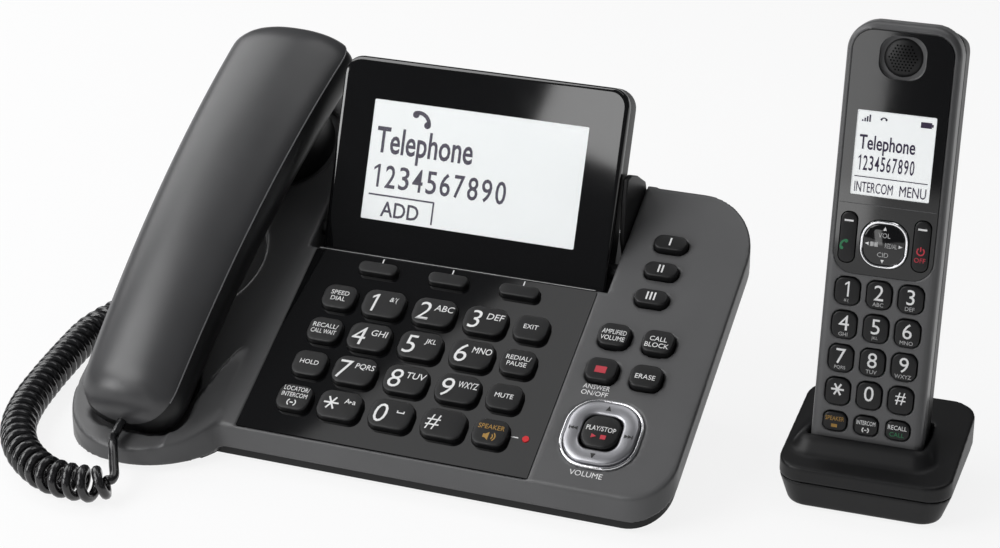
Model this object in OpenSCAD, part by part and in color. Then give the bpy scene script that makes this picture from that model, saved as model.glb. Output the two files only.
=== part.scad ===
// Desk telephone set: a base unit with a corded handset on a curly cord,
// and a cordless handset standing in its own charger beside it.
// Millimetres, +Z up, everything stands on z = 0. Front of the set faces -Y.

/* [Base unit] */
// Tilt of the key face above the table, degrees
slab_tilt = 29; // [24:0.5:32]
// Height of the front top edge of the key face
front_h = 13.5; // [12:0.5:16]
// Length of the key face up its slope
slab_d = 132; // [126:1:138]
// Thickness of the grey upper case at its rim
rim_t = 8; // [7.5:0.25:9]
// Thickness of the top plate that the keys pass through
top_t = 3; // [2.5:0.25:3.25]
// Wall thickness of the case halves
wall = 2; // [1.6:0.1:2.2]
// Radius of the right front corner
corner_front_r = 15; // [10:1:18]
// Radius of the right rear corner
corner_rear_r = 24; // [18:1:26]
// Height of the black skirt under the grey rim
skirt_t = 3; // [2:0.5:4]
// Thickness of the floor inside the skirt
skirt_floor = 1.4; // [1:0.1:1.8]
// Height of the rubber feet below the lower case
foot_h = 1.5; // [1:0.25:2]

/* [Key panel and wing] */
// Width of the gloss key panel
panel_w = 109; // [107:0.5:111]
// Length of the gloss key panel up the slope
panel_d = 82; // [81:0.5:84]
// Thickness of the gloss key panel
panel_t = 1.2; // [0.8:0.1:1.6]
// Width of the wing to the right of the panel
wing_w = 48.5; // [46:0.5:52]
// Distance from the panel's right edge to the wing key column
wing_key_in = 20; // [19:0.5:21.5]

/* [Keys] */
// Sideways pitch of the dial keys
dial_px = 19.5; // [19:0.25:20.5]
// Distance of the bottom dial row from the front edge
dial_v0 = 15; // [14:0.5:16]
// Width of a dial key
dial_w = 15.9; // [15:0.1:17]
// Gap between the rows of dial keys
row_gap = 3.3; // [2.5:0.1:4]
// Height of the key tops above the key face
key_proud = 2.4; // [1.5:0.1:3.5]
// Key stroke
key_travel = 1; // [0.5:0.1:1.1]
// Distance from the panel centre to the side key columns
side_key_u = 36.8; // [36:0.25:38]
// Width of a side key
side_key_w = 12.6; // [12:0.1:14]
// Side of the rounded square navigator opening
nav_w = 25.6; // [24.8:0.2:27]
// Width of the play and stop key inside the navigator
play_w = 13.2; // [12.6:0.2:14]

/* [Handset cradle] */
// Distance of the cradle centre line left of the panel centre
cradle_u = 90; // [88:0.5:93]
// Radius of the round cradle ends, in plan
cradle_r = 30; // [29:0.5:32]
// Plan position of the front round behind the front edge
lobe_y = 9.5; // [8:0.5:11]
// Plan position of the rear round behind the front edge
arm_y = 112; // [108:1:116]
// Height of the cradle rim at its front
lobe_h = 8.5; // [8:0.25:9.5]
// Slope of the front cradle rim, degrees
lobe_ramp = 16.5; // [15:0.5:18]
// Radius of the recess for the mouth end
mouth_recess_r = 24; // [23:0.5:25]
// Radius of the recess for the ear end
ear_recess_r = 23; // [22.5:0.5:24.5]
// Depth of both recesses below the key face
recess_d = 3; // [2.5:0.25:3.25]

/* [Display] */
// Width of the display head
disp_w = 110; // [106:0.5:111]
// Height of the display head
disp_h = 74.5; // [70:0.5:79]
// Tilt of the display above the key face, degrees
disp_tilt = 40; // [30:1:42]
// Width of the display window
win_w = 83; // [78:0.5:88]
// Height of the display window
win_h = 44; // [40:0.5:46]
// Height of the bezel below the window
win_low = 15.5; // [15.5:0.5:17.5]
// Distance of the hinge behind the panel
hinge_back = 13; // [12.5:0.25:14]
// Depth of the hinge below the key face
hinge_drop = 5.5; // [5:0.25:6]
// Radius of the hinge pins
pin_r = 3; // [2:0.25:3.25]

/* [Corded handset] */
// Length of the corded handset
h_len = 175; // [170:1:178]
// Half width at the mouth end
h_w0 = 20; // [19:0.5:21]
// Half width at the ear end
h_w1 = 26; // [24:0.5:27]
// Thickness of the grip
h_thick = 28; // [26:0.5:30]
// Rise of the arched grip between the two ends
h_arch = 8; // [6:0.5:10]
// Turn of the handset on the cradle, degrees
h_yaw = 1.5; // [0:0.1:2]
// Wall of the handset shells
h_wall = 2.2; // [1.8:0.1:2.6]
// Angle of the joint between the shells above the widest line, degrees
h_seam = 16; // [8:1:20]

/* [Curly cord] */
// Radius of the cord itself
cord_r = 1.7; // [1.5:0.05:1.75]
// Radius of the curls, to the middle of the cord
curl_r = 4.8; // [4.5:0.05:4.85]
// Length taken up by one curl
curl_pitch = 5; // [4.9:0.05:5.2]

/* [Cordless handset] */
// Length of the cordless handset
c_len = 154.5; // [153:0.5:158]
// Width of the cordless handset
c_w = 38; // [37.5:0.5:40]
// Thickness of the cordless handset
c_t = 22; // [21.5:0.5:24]
// Lean of the cordless handset, degrees above the table
c_lean = 80; // [77:1:83]
// Sideways pitch of the cordless dial keys
c_px = 10.7; // [10.3:0.1:11]
// Pitch of the cordless dial key rows
c_py = 11.7; // [11.3:0.1:12]
// Height of the middle dial row above the lower end
c_key5 = 52; // [51:0.5:54]

/* [Charger] */
// Width of the charger
ch_w = 59; // [57:0.5:62]
// Depth of the charger
ch_d = 55; // [53:0.5:58]
// Height of the charger at its front
ch_front_h = 16.5; // [15:0.5:18]
// Height of the charger at its rear
ch_rear_h = 23; // [21:0.5:26]
// Height of the joint line between its halves
ch_split = 11; // [10:0.25:12]
// Distance of the charger centre from the panel centre
ch_off = 159; // [157:0.5:163]
// Turn of the charger on the table, degrees
ch_yaw = 1.5; // [0:0.5:4]

/* [Fits] */
// Gap round each key in its opening
key_gap = 0.3; // [0.2:0.05:0.4]
// Radial gap of the hinge pins in their bores
pin_gap = 0.08; // [0.05:0.01:0.1]
// Gap round the cordless handset in the charger cup
cup_gap = 0.8; // [0.5:0.1:1]
// Gap round the parts that are set into the cases
seat_gap = 0.15; // [0.1:0.05:0.25]

/* [Hidden] */
$fn = 48;

// Colours
grey = [0.27, 0.27, 0.28];
black = [0.08, 0.08, 0.09];
key_black = [0.13, 0.13, 0.14];
chrome = [0.8, 0.8, 0.82];
green = [0.1, 0.35, 0.2];
white = [0.9, 0.9, 0.88];
glass = [0.75, 0.8, 0.82];
copper = [0.75, 0.6, 0.3];
red = [0.75, 0.05, 0.05];

// Where the set stands: the panel centre line and the front edge of the key face
base_x = -34.5;
base_y = -61;

// Base unit, derived
panel_u = panel_w / 2;
right_u = panel_u + wing_w;
wing_u = panel_u + wing_key_in;
slab_y = slab_d * cos(slab_tilt);
split_z = foot_h + 1;
panel_front = 0.8;
panel_rear = panel_d - 0.8;
flange_top = -top_t - 0.3;
flange_t = 1;
flange_lip = 0.9;
mat_top = flange_top - flange_t - key_travel - 0.3;
mat_t = 0.9;
board_top = mat_top - mat_t;
board_t = 1.6;
lobe_v = lobe_y / cos(slab_tilt);
ear_v = arm_y / cos(slab_tilt);
lobe_front = lobe_y - cradle_r;
lobe_join = (lobe_h - front_h - lobe_front * tan(lobe_ramp)) / (tan(slab_tilt) - tan(lobe_ramp));

// Well behind the panel that the display stands in
well_side = disp_w / 2 + 2.8;
well_wall = 4;
disp_low = 9.5;
disp_front = 7;
disp_split = 4;
disp_rear = -6;
well_deep = hinge_drop + norm([disp_low, disp_rear]) + 0.8;
hinge_v = panel_d + hinge_back;
pin_in = disp_w / 2 - 9;
pin_out = well_side + 3.4;

// Key places on the key face, from the panel centre and the front edge
soft_v = panel_d - 7;
dial_py = (soft_v - dial_v0) / 4;
dial_h = dial_py - row_gap;
function dial_at(i) = [(i % 3 - 1) * dial_px, dial_v0 + (3 - floor(i / 3)) * dial_py];
function side_at(s, i) = [s * side_key_u, dial_v0 + i * dial_py];
function soft_at(i) = [(i - 1) * 27.3, soft_v];
function touch_at(i) = [wing_u, panel_d - 0.7 + i * 12.3];
nav_at = [wing_u - 0.5, (panel_d + 10) / 4];
function message_at(i) = [wing_u + (i % 2 - 0.5) * 16, nav_at[1] + nav_w / 2 + 12.2 + floor(i / 2) * dial_py];
lamp_at = [side_key_u + side_key_w / 2 + 5.9, dial_v0 + 1];
lamp_r = 1.2;
side_key_h = dial_h - 1.2;
nav_r = 0.39 * nav_w;
play_r = 0.39 * play_w;
soft_size = [15, 5, 2.2];
touch_size = [12.2, 6.5, 3.1];
message_size = [11, dial_py - 5.6, 3.2];

// Screws that hold the base halves, in plan
screw_r = 1.2;
screw_u = -panel_u + 0.5;
screw_at = [[panel_u + 24.5, 5.4], [well_side + well_wall + 2.7, 88], [screw_u, 12], [screw_u, 56]];
boss_v = panel_d - 8;
boss_at = [[-panel_u + 8, 9.4], [-panel_u + 8, boss_v], [panel_u + 0.5, 10], [panel_u + 5.5, boss_v]];
board_at = [-panel_u + 4.5, 6.4];
board_size = [panel_w + 31, panel_d - 10.4];
function slab_z(y) = front_h + y * tan(slab_tilt);
function boss_end(p) = max(slab_z(p[1]) - 14, foot_h + 6);
foot_at = [[right_u - 28.5, 16], [right_u - 28.5, 82], [-cradle_u, 24], [-cradle_u + 2, 84]];

// Handset places, in the handset frame: Y runs from the mouth recess to the ear end
h_y0 = -22;
h_m0 = 7;
h_m1 = 19;
h_round0 = 22;
h_round1 = 16;
h_pow = 2.6;
h_rings = 23;
h_arc = 11;
ear_y = (ear_v - lobe_v) / cos(h_yaw);
ear_boss_r = 20;
mouth_boss_r = 15;
plug_x = -0.5;
plug_z = 8.5;
plug_y = -21;
plug_w = 7;
plug_h = 5;
plug_l = 10;

// Base socket of the curly cord, in plan
jack_x = -116;
jack_y = 91;
jack_z = 14;
jack_d = 12;
base_plug_l = 9;

// Cordless handset and charger, derived
ch_x = base_x + ch_off;
ch_y = 3.2;
c_x = -2.5;
c_y = -3.9;
c_z = 8;
c_front = c_t / 2 - 1;
c_back = -c_t / 2 - 1;
c_split = 1;
c_wall = 1.8;
c_plate = 2;
c_top_slope = 22;
c_panel_t = 0.8;
c_lcd = [26.4, 28.6];
c_lcd_y = c_key5 + 44.7;
c_nav_y = c_key5 + 29.1;
c_ear_y = c_lcd_y + c_lcd[1] + 18.2;
c_panel_y = c_nav_y - 11.2;
c_flange = c_front - c_plate - 0.3;
c_travel = 0.7;
c_board = c_flange - 0.8 - c_travel - 0.4;
c_key = [8.3, 9.3, 2.8];
c_low_key = [8, 6.6, 2.4];
c_nav = 16;
c_long_key = [5.4, 17.2, 2.4];
c_cell_r = 5.2;
c_cell_l = 44.5;
function c_dial_at(i) = [(i % 3 - 1) * c_px, c_key5 + (1 - floor(i / 3)) * c_py];
function c_low_at(i) = [(i - 1) * c_px, c_key5 - 34];

// Shared shapes

// Rounded rectangle centred on the origin
module rrect(w, h, r) {
  square([w - 2 * r, h], center = true);
  square([w, h - 2 * r], center = true);
  for (x = [-1, 1], y = [-1, 1])
    translate([x * (w / 2 - r), y * (h / 2 - r)])
      circle(r = r);
}

// Plate with the outline of a rounded rectangle, between two heights
module plate(w, h, r, z0, z1) {
  translate([0, 0, z0])
    linear_extrude(z1 - z0)
      rrect(w, h, r);
}

// Key: a cap with a stepped edge over a flange that keeps it in the case
module key(size, base, top, lip, thick) {
  plate(size[0] + 2 * lip, size[1] + 2 * lip, size[2] + lip, base - thick, base);
  plate(size[0], size[1], size[2], base - 0.01, top - 0.5);
  plate(size[0] - 0.8, size[1] - 0.8, size[2] - 0.4, top - 0.51, top);
}

module base_key(size, at) {
  base_frame()
    translate([at[0], at[1], 0])
      key(size, flange_top, key_proud, flange_lip, flange_t);
}

module base_key_hole(size, at) {
  translate([at[0], at[1], 0])
    plate(size[0] + 2 * key_gap, size[1] + 2 * key_gap, size[2] + key_gap, -top_t - 1, 5);
}

dial_size = [dial_w, dial_h, 4];
side_size = [side_key_w, side_key_h, 3.6];

module panel_key_holes() {
  for (i = [0:11])
    base_key_hole(dial_size, dial_at(i));
  for (s = [-1, 1], i = [0:3])
    base_key_hole(side_size, side_at(s, i));
  for (i = [0:2])
    base_key_hole(soft_size, soft_at(i));
}

module wing_key_holes() {
  for (i = [0:2])
    base_key_hole(touch_size, touch_at(i));
  for (i = [0:3])
    base_key_hole(message_size, message_at(i));
  translate([nav_at[0], nav_at[1], 0])
    plate(nav_w, nav_w, nav_r, -top_t - 1, 5);
}

// Frames

// Key face: X across, Y up the slope, Z out of the face
module base_frame() {
  translate([base_x, base_y, front_h])
    rotate([slab_tilt, 0, 0])
      children();
}

// Plan of the base: X and Y on the table, Z up
module plan_frame() {
  translate([base_x, base_y, 0])
    children();
}

// Display: X along the hinge, Y up the display, Z out of its face
module display_frame() {
  base_frame()
    translate([0, hinge_v, -hinge_drop])
      rotate([disp_tilt, 0, 0])
        children();
}

// Corded handset: X across, Y to the ear end, Z away from the cradle
module handset_frame() {
  base_frame()
    translate([-cradle_u, lobe_v, 0])
      rotate([0, 0, -h_yaw])
        children();
}

// Charger: on the table, turned a little
module charger_frame() {
  translate([ch_x, ch_y, 0])
    rotate([0, 0, ch_yaw])
      children();
}

// Cordless handset: X across, Y up its length, Z out of its face
module cordless_frame() {
  charger_frame()
    translate([c_x, c_y, c_z])
      rotate([c_lean, 0, 0])
        children();
}

// Layer parallel to the key face, in plan
module slab_layer(w0, w1) {
  translate([0, 0, front_h])
    rotate([slab_tilt, 0, 0])
      translate([-250, -120, w0])
        cube([500, 420, w1 - w0]);
}

// Plan outline of the base, drawn in by an inset
module base_plan(inset) {
  rf = corner_front_r - inset;
  rr = corner_rear_r - inset;
  x1 = right_u - inset;
  y0 = inset;
  y1 = slab_y - inset;
  translate([-cradle_u, y0 + rf])
    square([x1 + cradle_u, y1 - rr - y0 - rf]);
  translate([-cradle_u, y0])
    square([x1 - rf + cradle_u, rf]);
  translate([-cradle_u, y1 - rr])
    square([x1 - rr + cradle_u, rr]);
  translate([x1 - rf, y0 + rf])
    circle(r = rf);
  translate([x1 - rr, y1 - rr])
    circle(r = rr);
  translate([-cradle_u, lobe_y])
    circle(r = cradle_r - inset);
  translate([-cradle_u, arm_y])
    circle(r = cradle_r - inset);
  translate([-cradle_u - cradle_r + inset, lobe_y])
    square([2 * (cradle_r - inset), arm_y - lobe_y]);
}

// Raised front round of the cradle, below its ramp
module lobe_block(grow) {
  intersection() {
    translate([-cradle_u, lobe_y, split_z])
      cylinder(r = cradle_r + grow, h = 60);
    translate([0, lobe_front, lobe_h])
      rotate([lobe_ramp, 0, 0])
        translate([-250, -60, -60])
          cube([500, 60 + (lobe_join - lobe_front) / cos(lobe_ramp) + grow, 60]);
  }
}

// Tray that forms the display well, on the key face
module tray_block(grow) {
  translate([-well_side - well_wall - grow, panel_d - wall - grow, -well_deep - wall - grow])
    cube([2 * (well_side + well_wall + grow), slab_d, well_deep + wall + 2 * grow - 0.01]);
}

// Base unit

module base_upper_case() {
  color(grey)
    difference() {
      intersection() {
        union() {
          plan_frame()
            difference() {
              intersection() {
                linear_extrude(140)
                  base_plan(0);
                slab_layer(-rim_t, 0);
              }
              intersection() {
                linear_extrude(140)
                  base_plan(wall);
                slab_layer(-rim_t - 1, -top_t);
              }
            }
          plan_frame()
            lobe_block(0);
          base_frame()
            translate([-cradle_u, lobe_v, -recess_d - 1.6])
              cylinder(r = mouth_recess_r + 1.6, h = recess_d + 1.5);
          handset_frame()
            translate([0, ear_y, -recess_d - 1.6])
              cylinder(r = ear_recess_r + 1.6, h = recess_d + 1.5);
          base_frame()
            tray_block(0);
          base_frame()
            for (p = boss_at)
              translate([p[0], p[1], board_top])
                cylinder(r = 2.2, h = -board_top - 1.5);
          plan_frame()
            for (p = screw_at)
              translate([p[0], p[1], boss_end(p)])
                cylinder(r = 2.4, h = slab_z(p[1]) - boss_end(p) - 3);
        }
        plan_frame()
          translate([0, 0, split_z])
            linear_extrude(140)
              base_plan(0);
      }
      base_frame() {
        translate([-well_side, panel_d, -well_deep])
          cube([2 * well_side, slab_d, well_deep + 60]);
        translate([-cradle_u, lobe_v, -recess_d])
          cylinder(r = mouth_recess_r, h = 40);
        translate([-panel_u, panel_front, -panel_t])
          cube([panel_w, panel_rear - panel_front, 20]);
        panel_key_holes();
        wing_key_holes();
        translate([nav_at[0], nav_at[1], 0])
          plate(nav_w + 2.4, nav_w + 2.4, nav_r + 1.2, -1, 5);
        translate([lamp_at[0], lamp_at[1], -top_t - 1])
          cylinder(r = lamp_r + seat_gap, h = 10);
        for (s = [-1, 1])
          translate([s * (well_side + pin_out + 0.3) / 2, hinge_v, -hinge_drop])
            rotate([0, 90, 0])
              cylinder(r = pin_r + pin_gap, h = pin_out + 0.3 - well_side + 0.02, center = true);
      }
      handset_frame() {
        translate([0, ear_y, -recess_d])
          cylinder(r = ear_recess_r, h = 40);
        translate([0, ear_y, 0])
          plate(8 + 2 * key_gap, 12 + 2 * key_gap, 2 + key_gap, -recess_d - 3, 1);
      }
      plan_frame()
        for (p = screw_at)
          translate([p[0], p[1], boss_end(p) - 1])
            cylinder(r = screw_r, h = 8);
    }
}

// Tapered tub of the lower case, drawn in by an inset, with its top raised
module tub(inset, rise) {
  r = cradle_r - 3 - inset;
  hull() {
    translate([-panel_u - 5.5 + inset, 4 + inset, foot_h + inset])
      cube([right_u + panel_u - 11 - 2 * inset, 88 - 2 * inset, 0.1]);
    intersection() {
      translate([-panel_u - 7.5 + inset, 2.6 + inset, 0])
        cube([right_u + panel_u - 3 - 2 * inset, 101 - 2 * inset, 140]);
      slab_layer(-rim_t - skirt_t - 0.1, -rim_t - skirt_t + 0.5 + rise);
    }
  }
  hull() {
    for (y = [24, 86])
      translate([-cradle_u, y, foot_h + inset])
        cylinder(r = 18 - inset, h = 0.1, $fn = 32);
    intersection() {
      translate([-cradle_u, 0, 0])
        linear_extrude(140) {
          for (y = [34, arm_y])
            translate([0, y])
              circle(r = r, $fn = 32);
          translate([-r, 34])
            square([2 * r, arm_y - 34]);
        }
      slab_layer(-rim_t - skirt_t - 0.1, -rim_t - skirt_t + 0.5 + rise);
    }
  }
}

module base_lower_case() {
  color(black)
    plan_frame() {
      translate([-cradle_u, lobe_y, foot_h])
        cylinder(r = cradle_r - 2, h = split_z - foot_h);
      difference() {
        union() {
          difference() {
            union() {
              tub(0, 0);
              intersection() {
                translate([0, 0, foot_h])
                  linear_extrude(140)
                    base_plan(1.2);
                slab_layer(-rim_t - skirt_t, -rim_t);
              }
            }
            tub(wall, skirt_t);
            intersection() {
              translate([0, 0, foot_h + wall])
                linear_extrude(140)
                  base_plan(1.2 + wall);
              slab_layer(-rim_t - skirt_t + skirt_floor, -rim_t + 1);
            }
          }
          for (p = screw_at)
            translate([p[0], p[1], foot_h])
              cylinder(r = 3.8, h = boss_end(p) - foot_h);
        }
        slab_layer(-rim_t, 60);
        lobe_block(seat_gap);
        translate([0, 0, front_h])
          rotate([slab_tilt, 0, 0])
            tray_block(seat_gap);
        for (p = screw_at) {
          translate([p[0], p[1], -1])
            cylinder(r = 2.7, h = boss_end(p) - 2);
          translate([p[0], p[1], -1])
            cylinder(r = screw_r + 0.3, h = boss_end(p) + 3);
        }
        for (p = foot_at)
          translate([p[0], p[1], -1])
            cylinder(r = 6, h = foot_h + 1.5);
        for (i = [-3:3])
          translate([20 + i * 5 - 1, 43, -1])
            cube([2, 30, 8]);
        translate([jack_x - 60, jack_y - 7 - seat_gap, jack_z - 6 - seat_gap])
          cube([60 + jack_d, 14 + 2 * seat_gap, 12 + 2 * seat_gap]);
      }
    }
}

module keypad_panel() {
  color(black)
    base_frame()
      difference() {
        translate([-panel_u + seat_gap, panel_front + seat_gap, -panel_t])
          cube([panel_w - 2 * seat_gap, panel_rear - panel_front - 2 * seat_gap, panel_t]);
        panel_key_holes();
        translate([lamp_at[0], lamp_at[1], -3])
          cylinder(r = lamp_r + seat_gap, h = 10);
      }
}

module base_circuit_board() {
  color(green)
    base_frame()
      translate([board_at[0], board_at[1], board_top - board_t])
        cube([board_size[0], board_size[1], board_t]);
}

module base_key_mat() {
  color(white)
    base_frame()
      difference() {
        translate([board_at[0], board_at[1], board_top])
          cube([board_size[0], board_size[1], mat_t]);
        for (p = boss_at)
          translate([p[0], p[1], board_top - 1])
            cylinder(r = 2.7, h = 5);
      }
}

module base_loudspeaker() {
  color(black)
    plan_frame()
      translate([20, 58, foot_h + wall]) {
        cylinder(r = 25, h = 4);
        translate([0, 0, 3.99])
          cylinder(r1 = 22, r2 = 13, h = 7);
        translate([0, 0, 10.98])
          cylinder(r = 13, h = 7);
      }
}

module base_feet() {
  color(key_black)
    plan_frame()
      for (p = foot_at)
        translate([p[0], p[1], 0])
          cylinder(r = 6, h = foot_h + 0.5);
}

module base_screws() {
  color(chrome)
    plan_frame()
      for (p = screw_at)
        translate([p[0], p[1], boss_end(p) - 3]) {
          translate([0, 0, -2])
            cylinder(r = 2.5, h = 2);
          translate([0, 0, -0.01])
            cylinder(r = screw_r, h = 9);
        }
}

module navigator_trim() {
  color(chrome)
    base_frame()
      translate([nav_at[0], nav_at[1], 0])
        difference() {
          plate(nav_w + 2.4, nav_w + 2.4, nav_r + 1.2, -1, 0.8);
          plate(nav_w, nav_w, nav_r, -2, 2);
        }
}

module speakerphone_lamp() {
  color(red)
    base_frame()
      translate([lamp_at[0], lamp_at[1], -top_t])
        cylinder(r = lamp_r, h = top_t + 0.3);
}

module base_sockets() {
  color(key_black)
    plan_frame()
      difference() {
        translate([jack_x, jack_y - 7, jack_z - 6])
          cube([jack_d, 14, 12]);
        translate([jack_x - 1, jack_y - plug_w / 2 - seat_gap, jack_z - plug_h / 2 - seat_gap])
          cube([8, plug_w + 2 * seat_gap, plug_h + 2 * seat_gap]);
      }
}

module hook_switch() {
  color(key_black)
    handset_frame()
      translate([0, ear_y, 0]) {
        plate(8, 12, 2, -recess_d - 9, -recess_d);
        plate(11, 15, 3, -recess_d - 7.6, -recess_d - 6.2);
      }
}

// Display

// Rounded outline of the display between two depths, drawn in by an inset
module display_plate(inset, z0, z1) {
  translate([0, disp_h / 2 - disp_low, 0])
    plate(disp_w - 2 * inset, disp_h - 2 * inset, 7 - inset, z0, z1);
}

win_y = win_low - disp_low + win_h / 2;

module display_front_frame() {
  color(black)
    display_frame()
      difference() {
        display_plate(0, disp_split, disp_front);
        display_plate(wall, disp_split - 1, disp_front - 2);
        translate([0, win_y, 0])
          plate(win_w, win_h, 0.6, 0, 20);
        translate([0, win_y, 0])
          plate(win_w + 2 + 2 * seat_gap, win_h + 2 + 2 * seat_gap, 1, disp_front - 1, 20);
      }
}

module display_window() {
  color(glass)
    display_frame()
      translate([0, win_y, 0])
        plate(win_w + 2, win_h + 2, 1, disp_front - 1, disp_front);
}

module display_lcd() {
  color(white)
    display_frame()
      translate([0, win_y, 0])
        plate(win_w + 7, win_h + 1.2, 1, disp_front - 6, disp_front - 2);
}

module display_rear_cover() {
  color(black)
    display_frame()
      difference() {
        union() {
          difference() {
            display_plate(0, disp_rear, disp_split);
            display_plate(wall, disp_rear + wall, disp_split + 1);
          }
          for (s = [-1, 1])
            translate([s * (disp_w / 2 - 6) - 5, -pin_r - 2, disp_rear + 1])
              cube([10, 2 * pin_r + 4, disp_split - disp_rear - 1.4]);
        }
        for (s = [-1, 1])
          translate([s * (pin_in + 10), 0, 0])
            rotate([0, 90, 0])
              cylinder(r = pin_r, h = 20, center = true);
      }
}

module display_hinge_pins() {
  color(chrome)
    display_frame()
      for (s = [-1, 1])
        translate([s * (pin_in + pin_out) / 2, 0, 0])
          rotate([0, 90, 0])
            cylinder(r = pin_r, h = pin_out - pin_in, center = true);
}

// Base keys

module dial_key(i) {
  color(key_black)
    base_key(dial_size, dial_at(i));
}

module side_keys(s) {
  color(key_black)
    for (i = [0:3])
      base_key(side_size, side_at(s, i));
}

module soft_keys() {
  color(key_black)
    for (i = [0:2])
      base_key(soft_size, soft_at(i));
}

module one_touch_keys() {
  color(key_black)
    for (i = [0:2])
      base_key(touch_size, touch_at(i));
}

module message_keys() {
  color(key_black)
    for (i = [0:3])
      base_key(message_size, message_at(i));
}

module navigator_key() {
  color(key_black)
    base_frame()
      translate([nav_at[0], nav_at[1], 0])
        difference() {
          key([nav_w - 2 * key_gap, nav_w - 2 * key_gap, nav_r - key_gap], flange_top, key_proud - 0.6,
            flange_lip, flange_t);
          plate(play_w + 2 * key_gap, play_w + 2 * key_gap, play_r + key_gap, -20, 20);
          plate(play_w + 2.6, play_w + 2.6, play_r + 1, -20, flange_top + key_travel + 0.2);
        }
}

module play_stop_key() {
  color(key_black)
    base_frame()
      translate([nav_at[0], nav_at[1], 0])
        key([play_w, play_w, play_r], flange_top - 0.1, key_proud - 0.2, 0.9, flange_t - 0.1);
}

// Corded handset

function sgn_pow(x, e) = sign(x) * pow(abs(x), e);
function h_end(y, len) = min(
  sqrt(max(0, 1 - pow(1 - min(1, y / h_round0), 2))),
  sqrt(max(0, 1 - pow(1 - min(1, (len - y) / h_round1), 2.5))));
function h_mid(t) = h_m0 + (h_m1 - h_m0) * t + 4 * h_arch * t * (1 - t);
// Point of the handset skin at a share of its length and an angle, drawn in by an inset
function h_point(t, a, inset) =
  let (len = h_len - 2 * inset)
  let (e = max(0.06, h_end(t * len, len)))
  let (hw = (h_w0 + (h_w1 - h_w0) * t - inset) * pow(e, 0.75))
  let (half = (h_thick / 2 - inset) * e)
  [hw * sgn_pow(cos(a), 2 / h_pow), h_y0 + inset + t * len, h_mid(t) + half * sgn_pow(sin(a), 2 / h_pow)];

// Part of the hollow handset skin between two angles: a C section carried from end to end
module handset_skin(a0, a1) {
  n = 2 * h_arc;
  share = [for (k = [0:h_rings - 1]) (1 - cos(180 * k / (h_rings - 1))) / 2];
  angle = [for (j = [0:h_arc - 1]) a0 + (a1 - a0) * j / (h_arc - 1)];
  points = [for (t = share, j = [0:n - 1])
    j < h_arc ? h_point(t, angle[j], 0) : h_point(t, angle[n - 1 - j], h_wall)];
  last = (h_rings - 1) * n;
  sides = [for (k = [0:h_rings - 2], j = [0:n - 1])
    let (a = k * n + j, b = k * n + (j + 1) % n)
    for (f = [[a, b, b + n], [a, b + n, a + n]]) f];
  front = [for (j = [0:h_arc - 2])
    for (f = [[n - 1 - j, n - 2 - j, j + 1], [n - 1 - j, j + 1, j]]) f];
  back = [for (j = [0:h_arc - 2])
    for (f = [[last + j, last + j + 1, last + n - 2 - j], [last + j, last + n - 2 - j, last + n - 1 - j]]) f];
  polyhedron(points = points, faces = concat(sides, front, back), convexity = 8);
}

// Opening for the cord plug, through both shells
module plug_opening() {
  translate([plug_x - plug_w / 2 - seat_gap, plug_y - 5, plug_z - plug_h / 2 - seat_gap])
    cube([plug_w + 2 * seat_gap, plug_l + 6, plug_h + 2 * seat_gap]);
}

module handset_outer_shell() {
  color(grey)
    handset_frame()
      difference() {
        handset_skin(h_seam, 180 - h_seam);
        plug_opening();
      }
}

module handset_inner_shell() {
  color(black)
    handset_frame()
      difference() {
        union() {
          handset_skin(180 - h_seam, 360 + h_seam);
          translate([0, ear_y, -recess_d])
            cylinder(r = ear_boss_r, h = 17);
          translate([0, 0, -recess_d])
            cylinder(r = mouth_boss_r, h = 6);
        }
        translate([0, ear_y, -recess_d + 2])
          cylinder(r = ear_boss_r - 3, h = 40);
        translate([0, 0, -recess_d + 2])
          cylinder(r = mouth_boss_r - 3, h = 8);
        for (i = [0:5])
          translate([7 * cos(60 * i), ear_y + 7 * sin(60 * i), -20])
            cylinder(r = 1.2, h = 30, $fn = 16);
        translate([0, 9, -20])
          cylinder(r = 1.2, h = 30, $fn = 16);
        plug_opening();
      }
}

module handset_receiver() {
  color(key_black)
    handset_frame()
      translate([0, ear_y, -recess_d + 2]) {
        cylinder(r = ear_boss_r - 3.2, h = 4);
        translate([0, 0, 3.99])
          cylinder(r = 10, h = 4);
      }
}

module handset_microphone() {
  color(key_black)
    handset_frame()
      translate([0, 6, -recess_d + 2])
        cylinder(r = 4.8, h = 4);
}

// Curly cord

// Places of the handset frame in the set
function handset_place(p) =
  let (x = p[0] * cos(h_yaw) + p[1] * sin(h_yaw) - cradle_u)
  let (y = p[1] * cos(h_yaw) - p[0] * sin(h_yaw) + lobe_v)
  [base_x + x, base_y + y * cos(slab_tilt) - p[2] * sin(slab_tilt),
    front_h + y * sin(slab_tilt) + p[2] * cos(slab_tilt)];

// Middle line of the cord: the plug end, the coil on the table, and the base end
cord_top = [for (d = [0, 4, 8]) handset_place([plug_x, plug_y - d, plug_z])];
cord_mid = [
  [-122, -88, 13], [-118, -95, 10], [-115.5, -100, 7.8], [-118, -104, 7], [-124, -105.5, 6.8],
  [-132, -105.5, 6.7], [-141, -103, 6.7], [-152, -95.5, 6.7], [-161, -86, 6.7], [-168, -74, 6.7],
  [-173, -59, 6.7], [-176.5, -42, 6.7], [-179, -26, 6.7], [-181, -11, 6.7], [-182, 2, 6.7],
  [-179.5, 15, 7.2], [-172.5, 25, 9.6]
];
cord_tail = [for (d = [8, 4, 0]) [base_x + jack_x - base_plug_l + 6 - d, base_y + jack_y, jack_z]];
cord_route = concat(cord_top, cord_mid, cord_tail);
coil_from = 32;
coil_ramp = 4;

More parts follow.
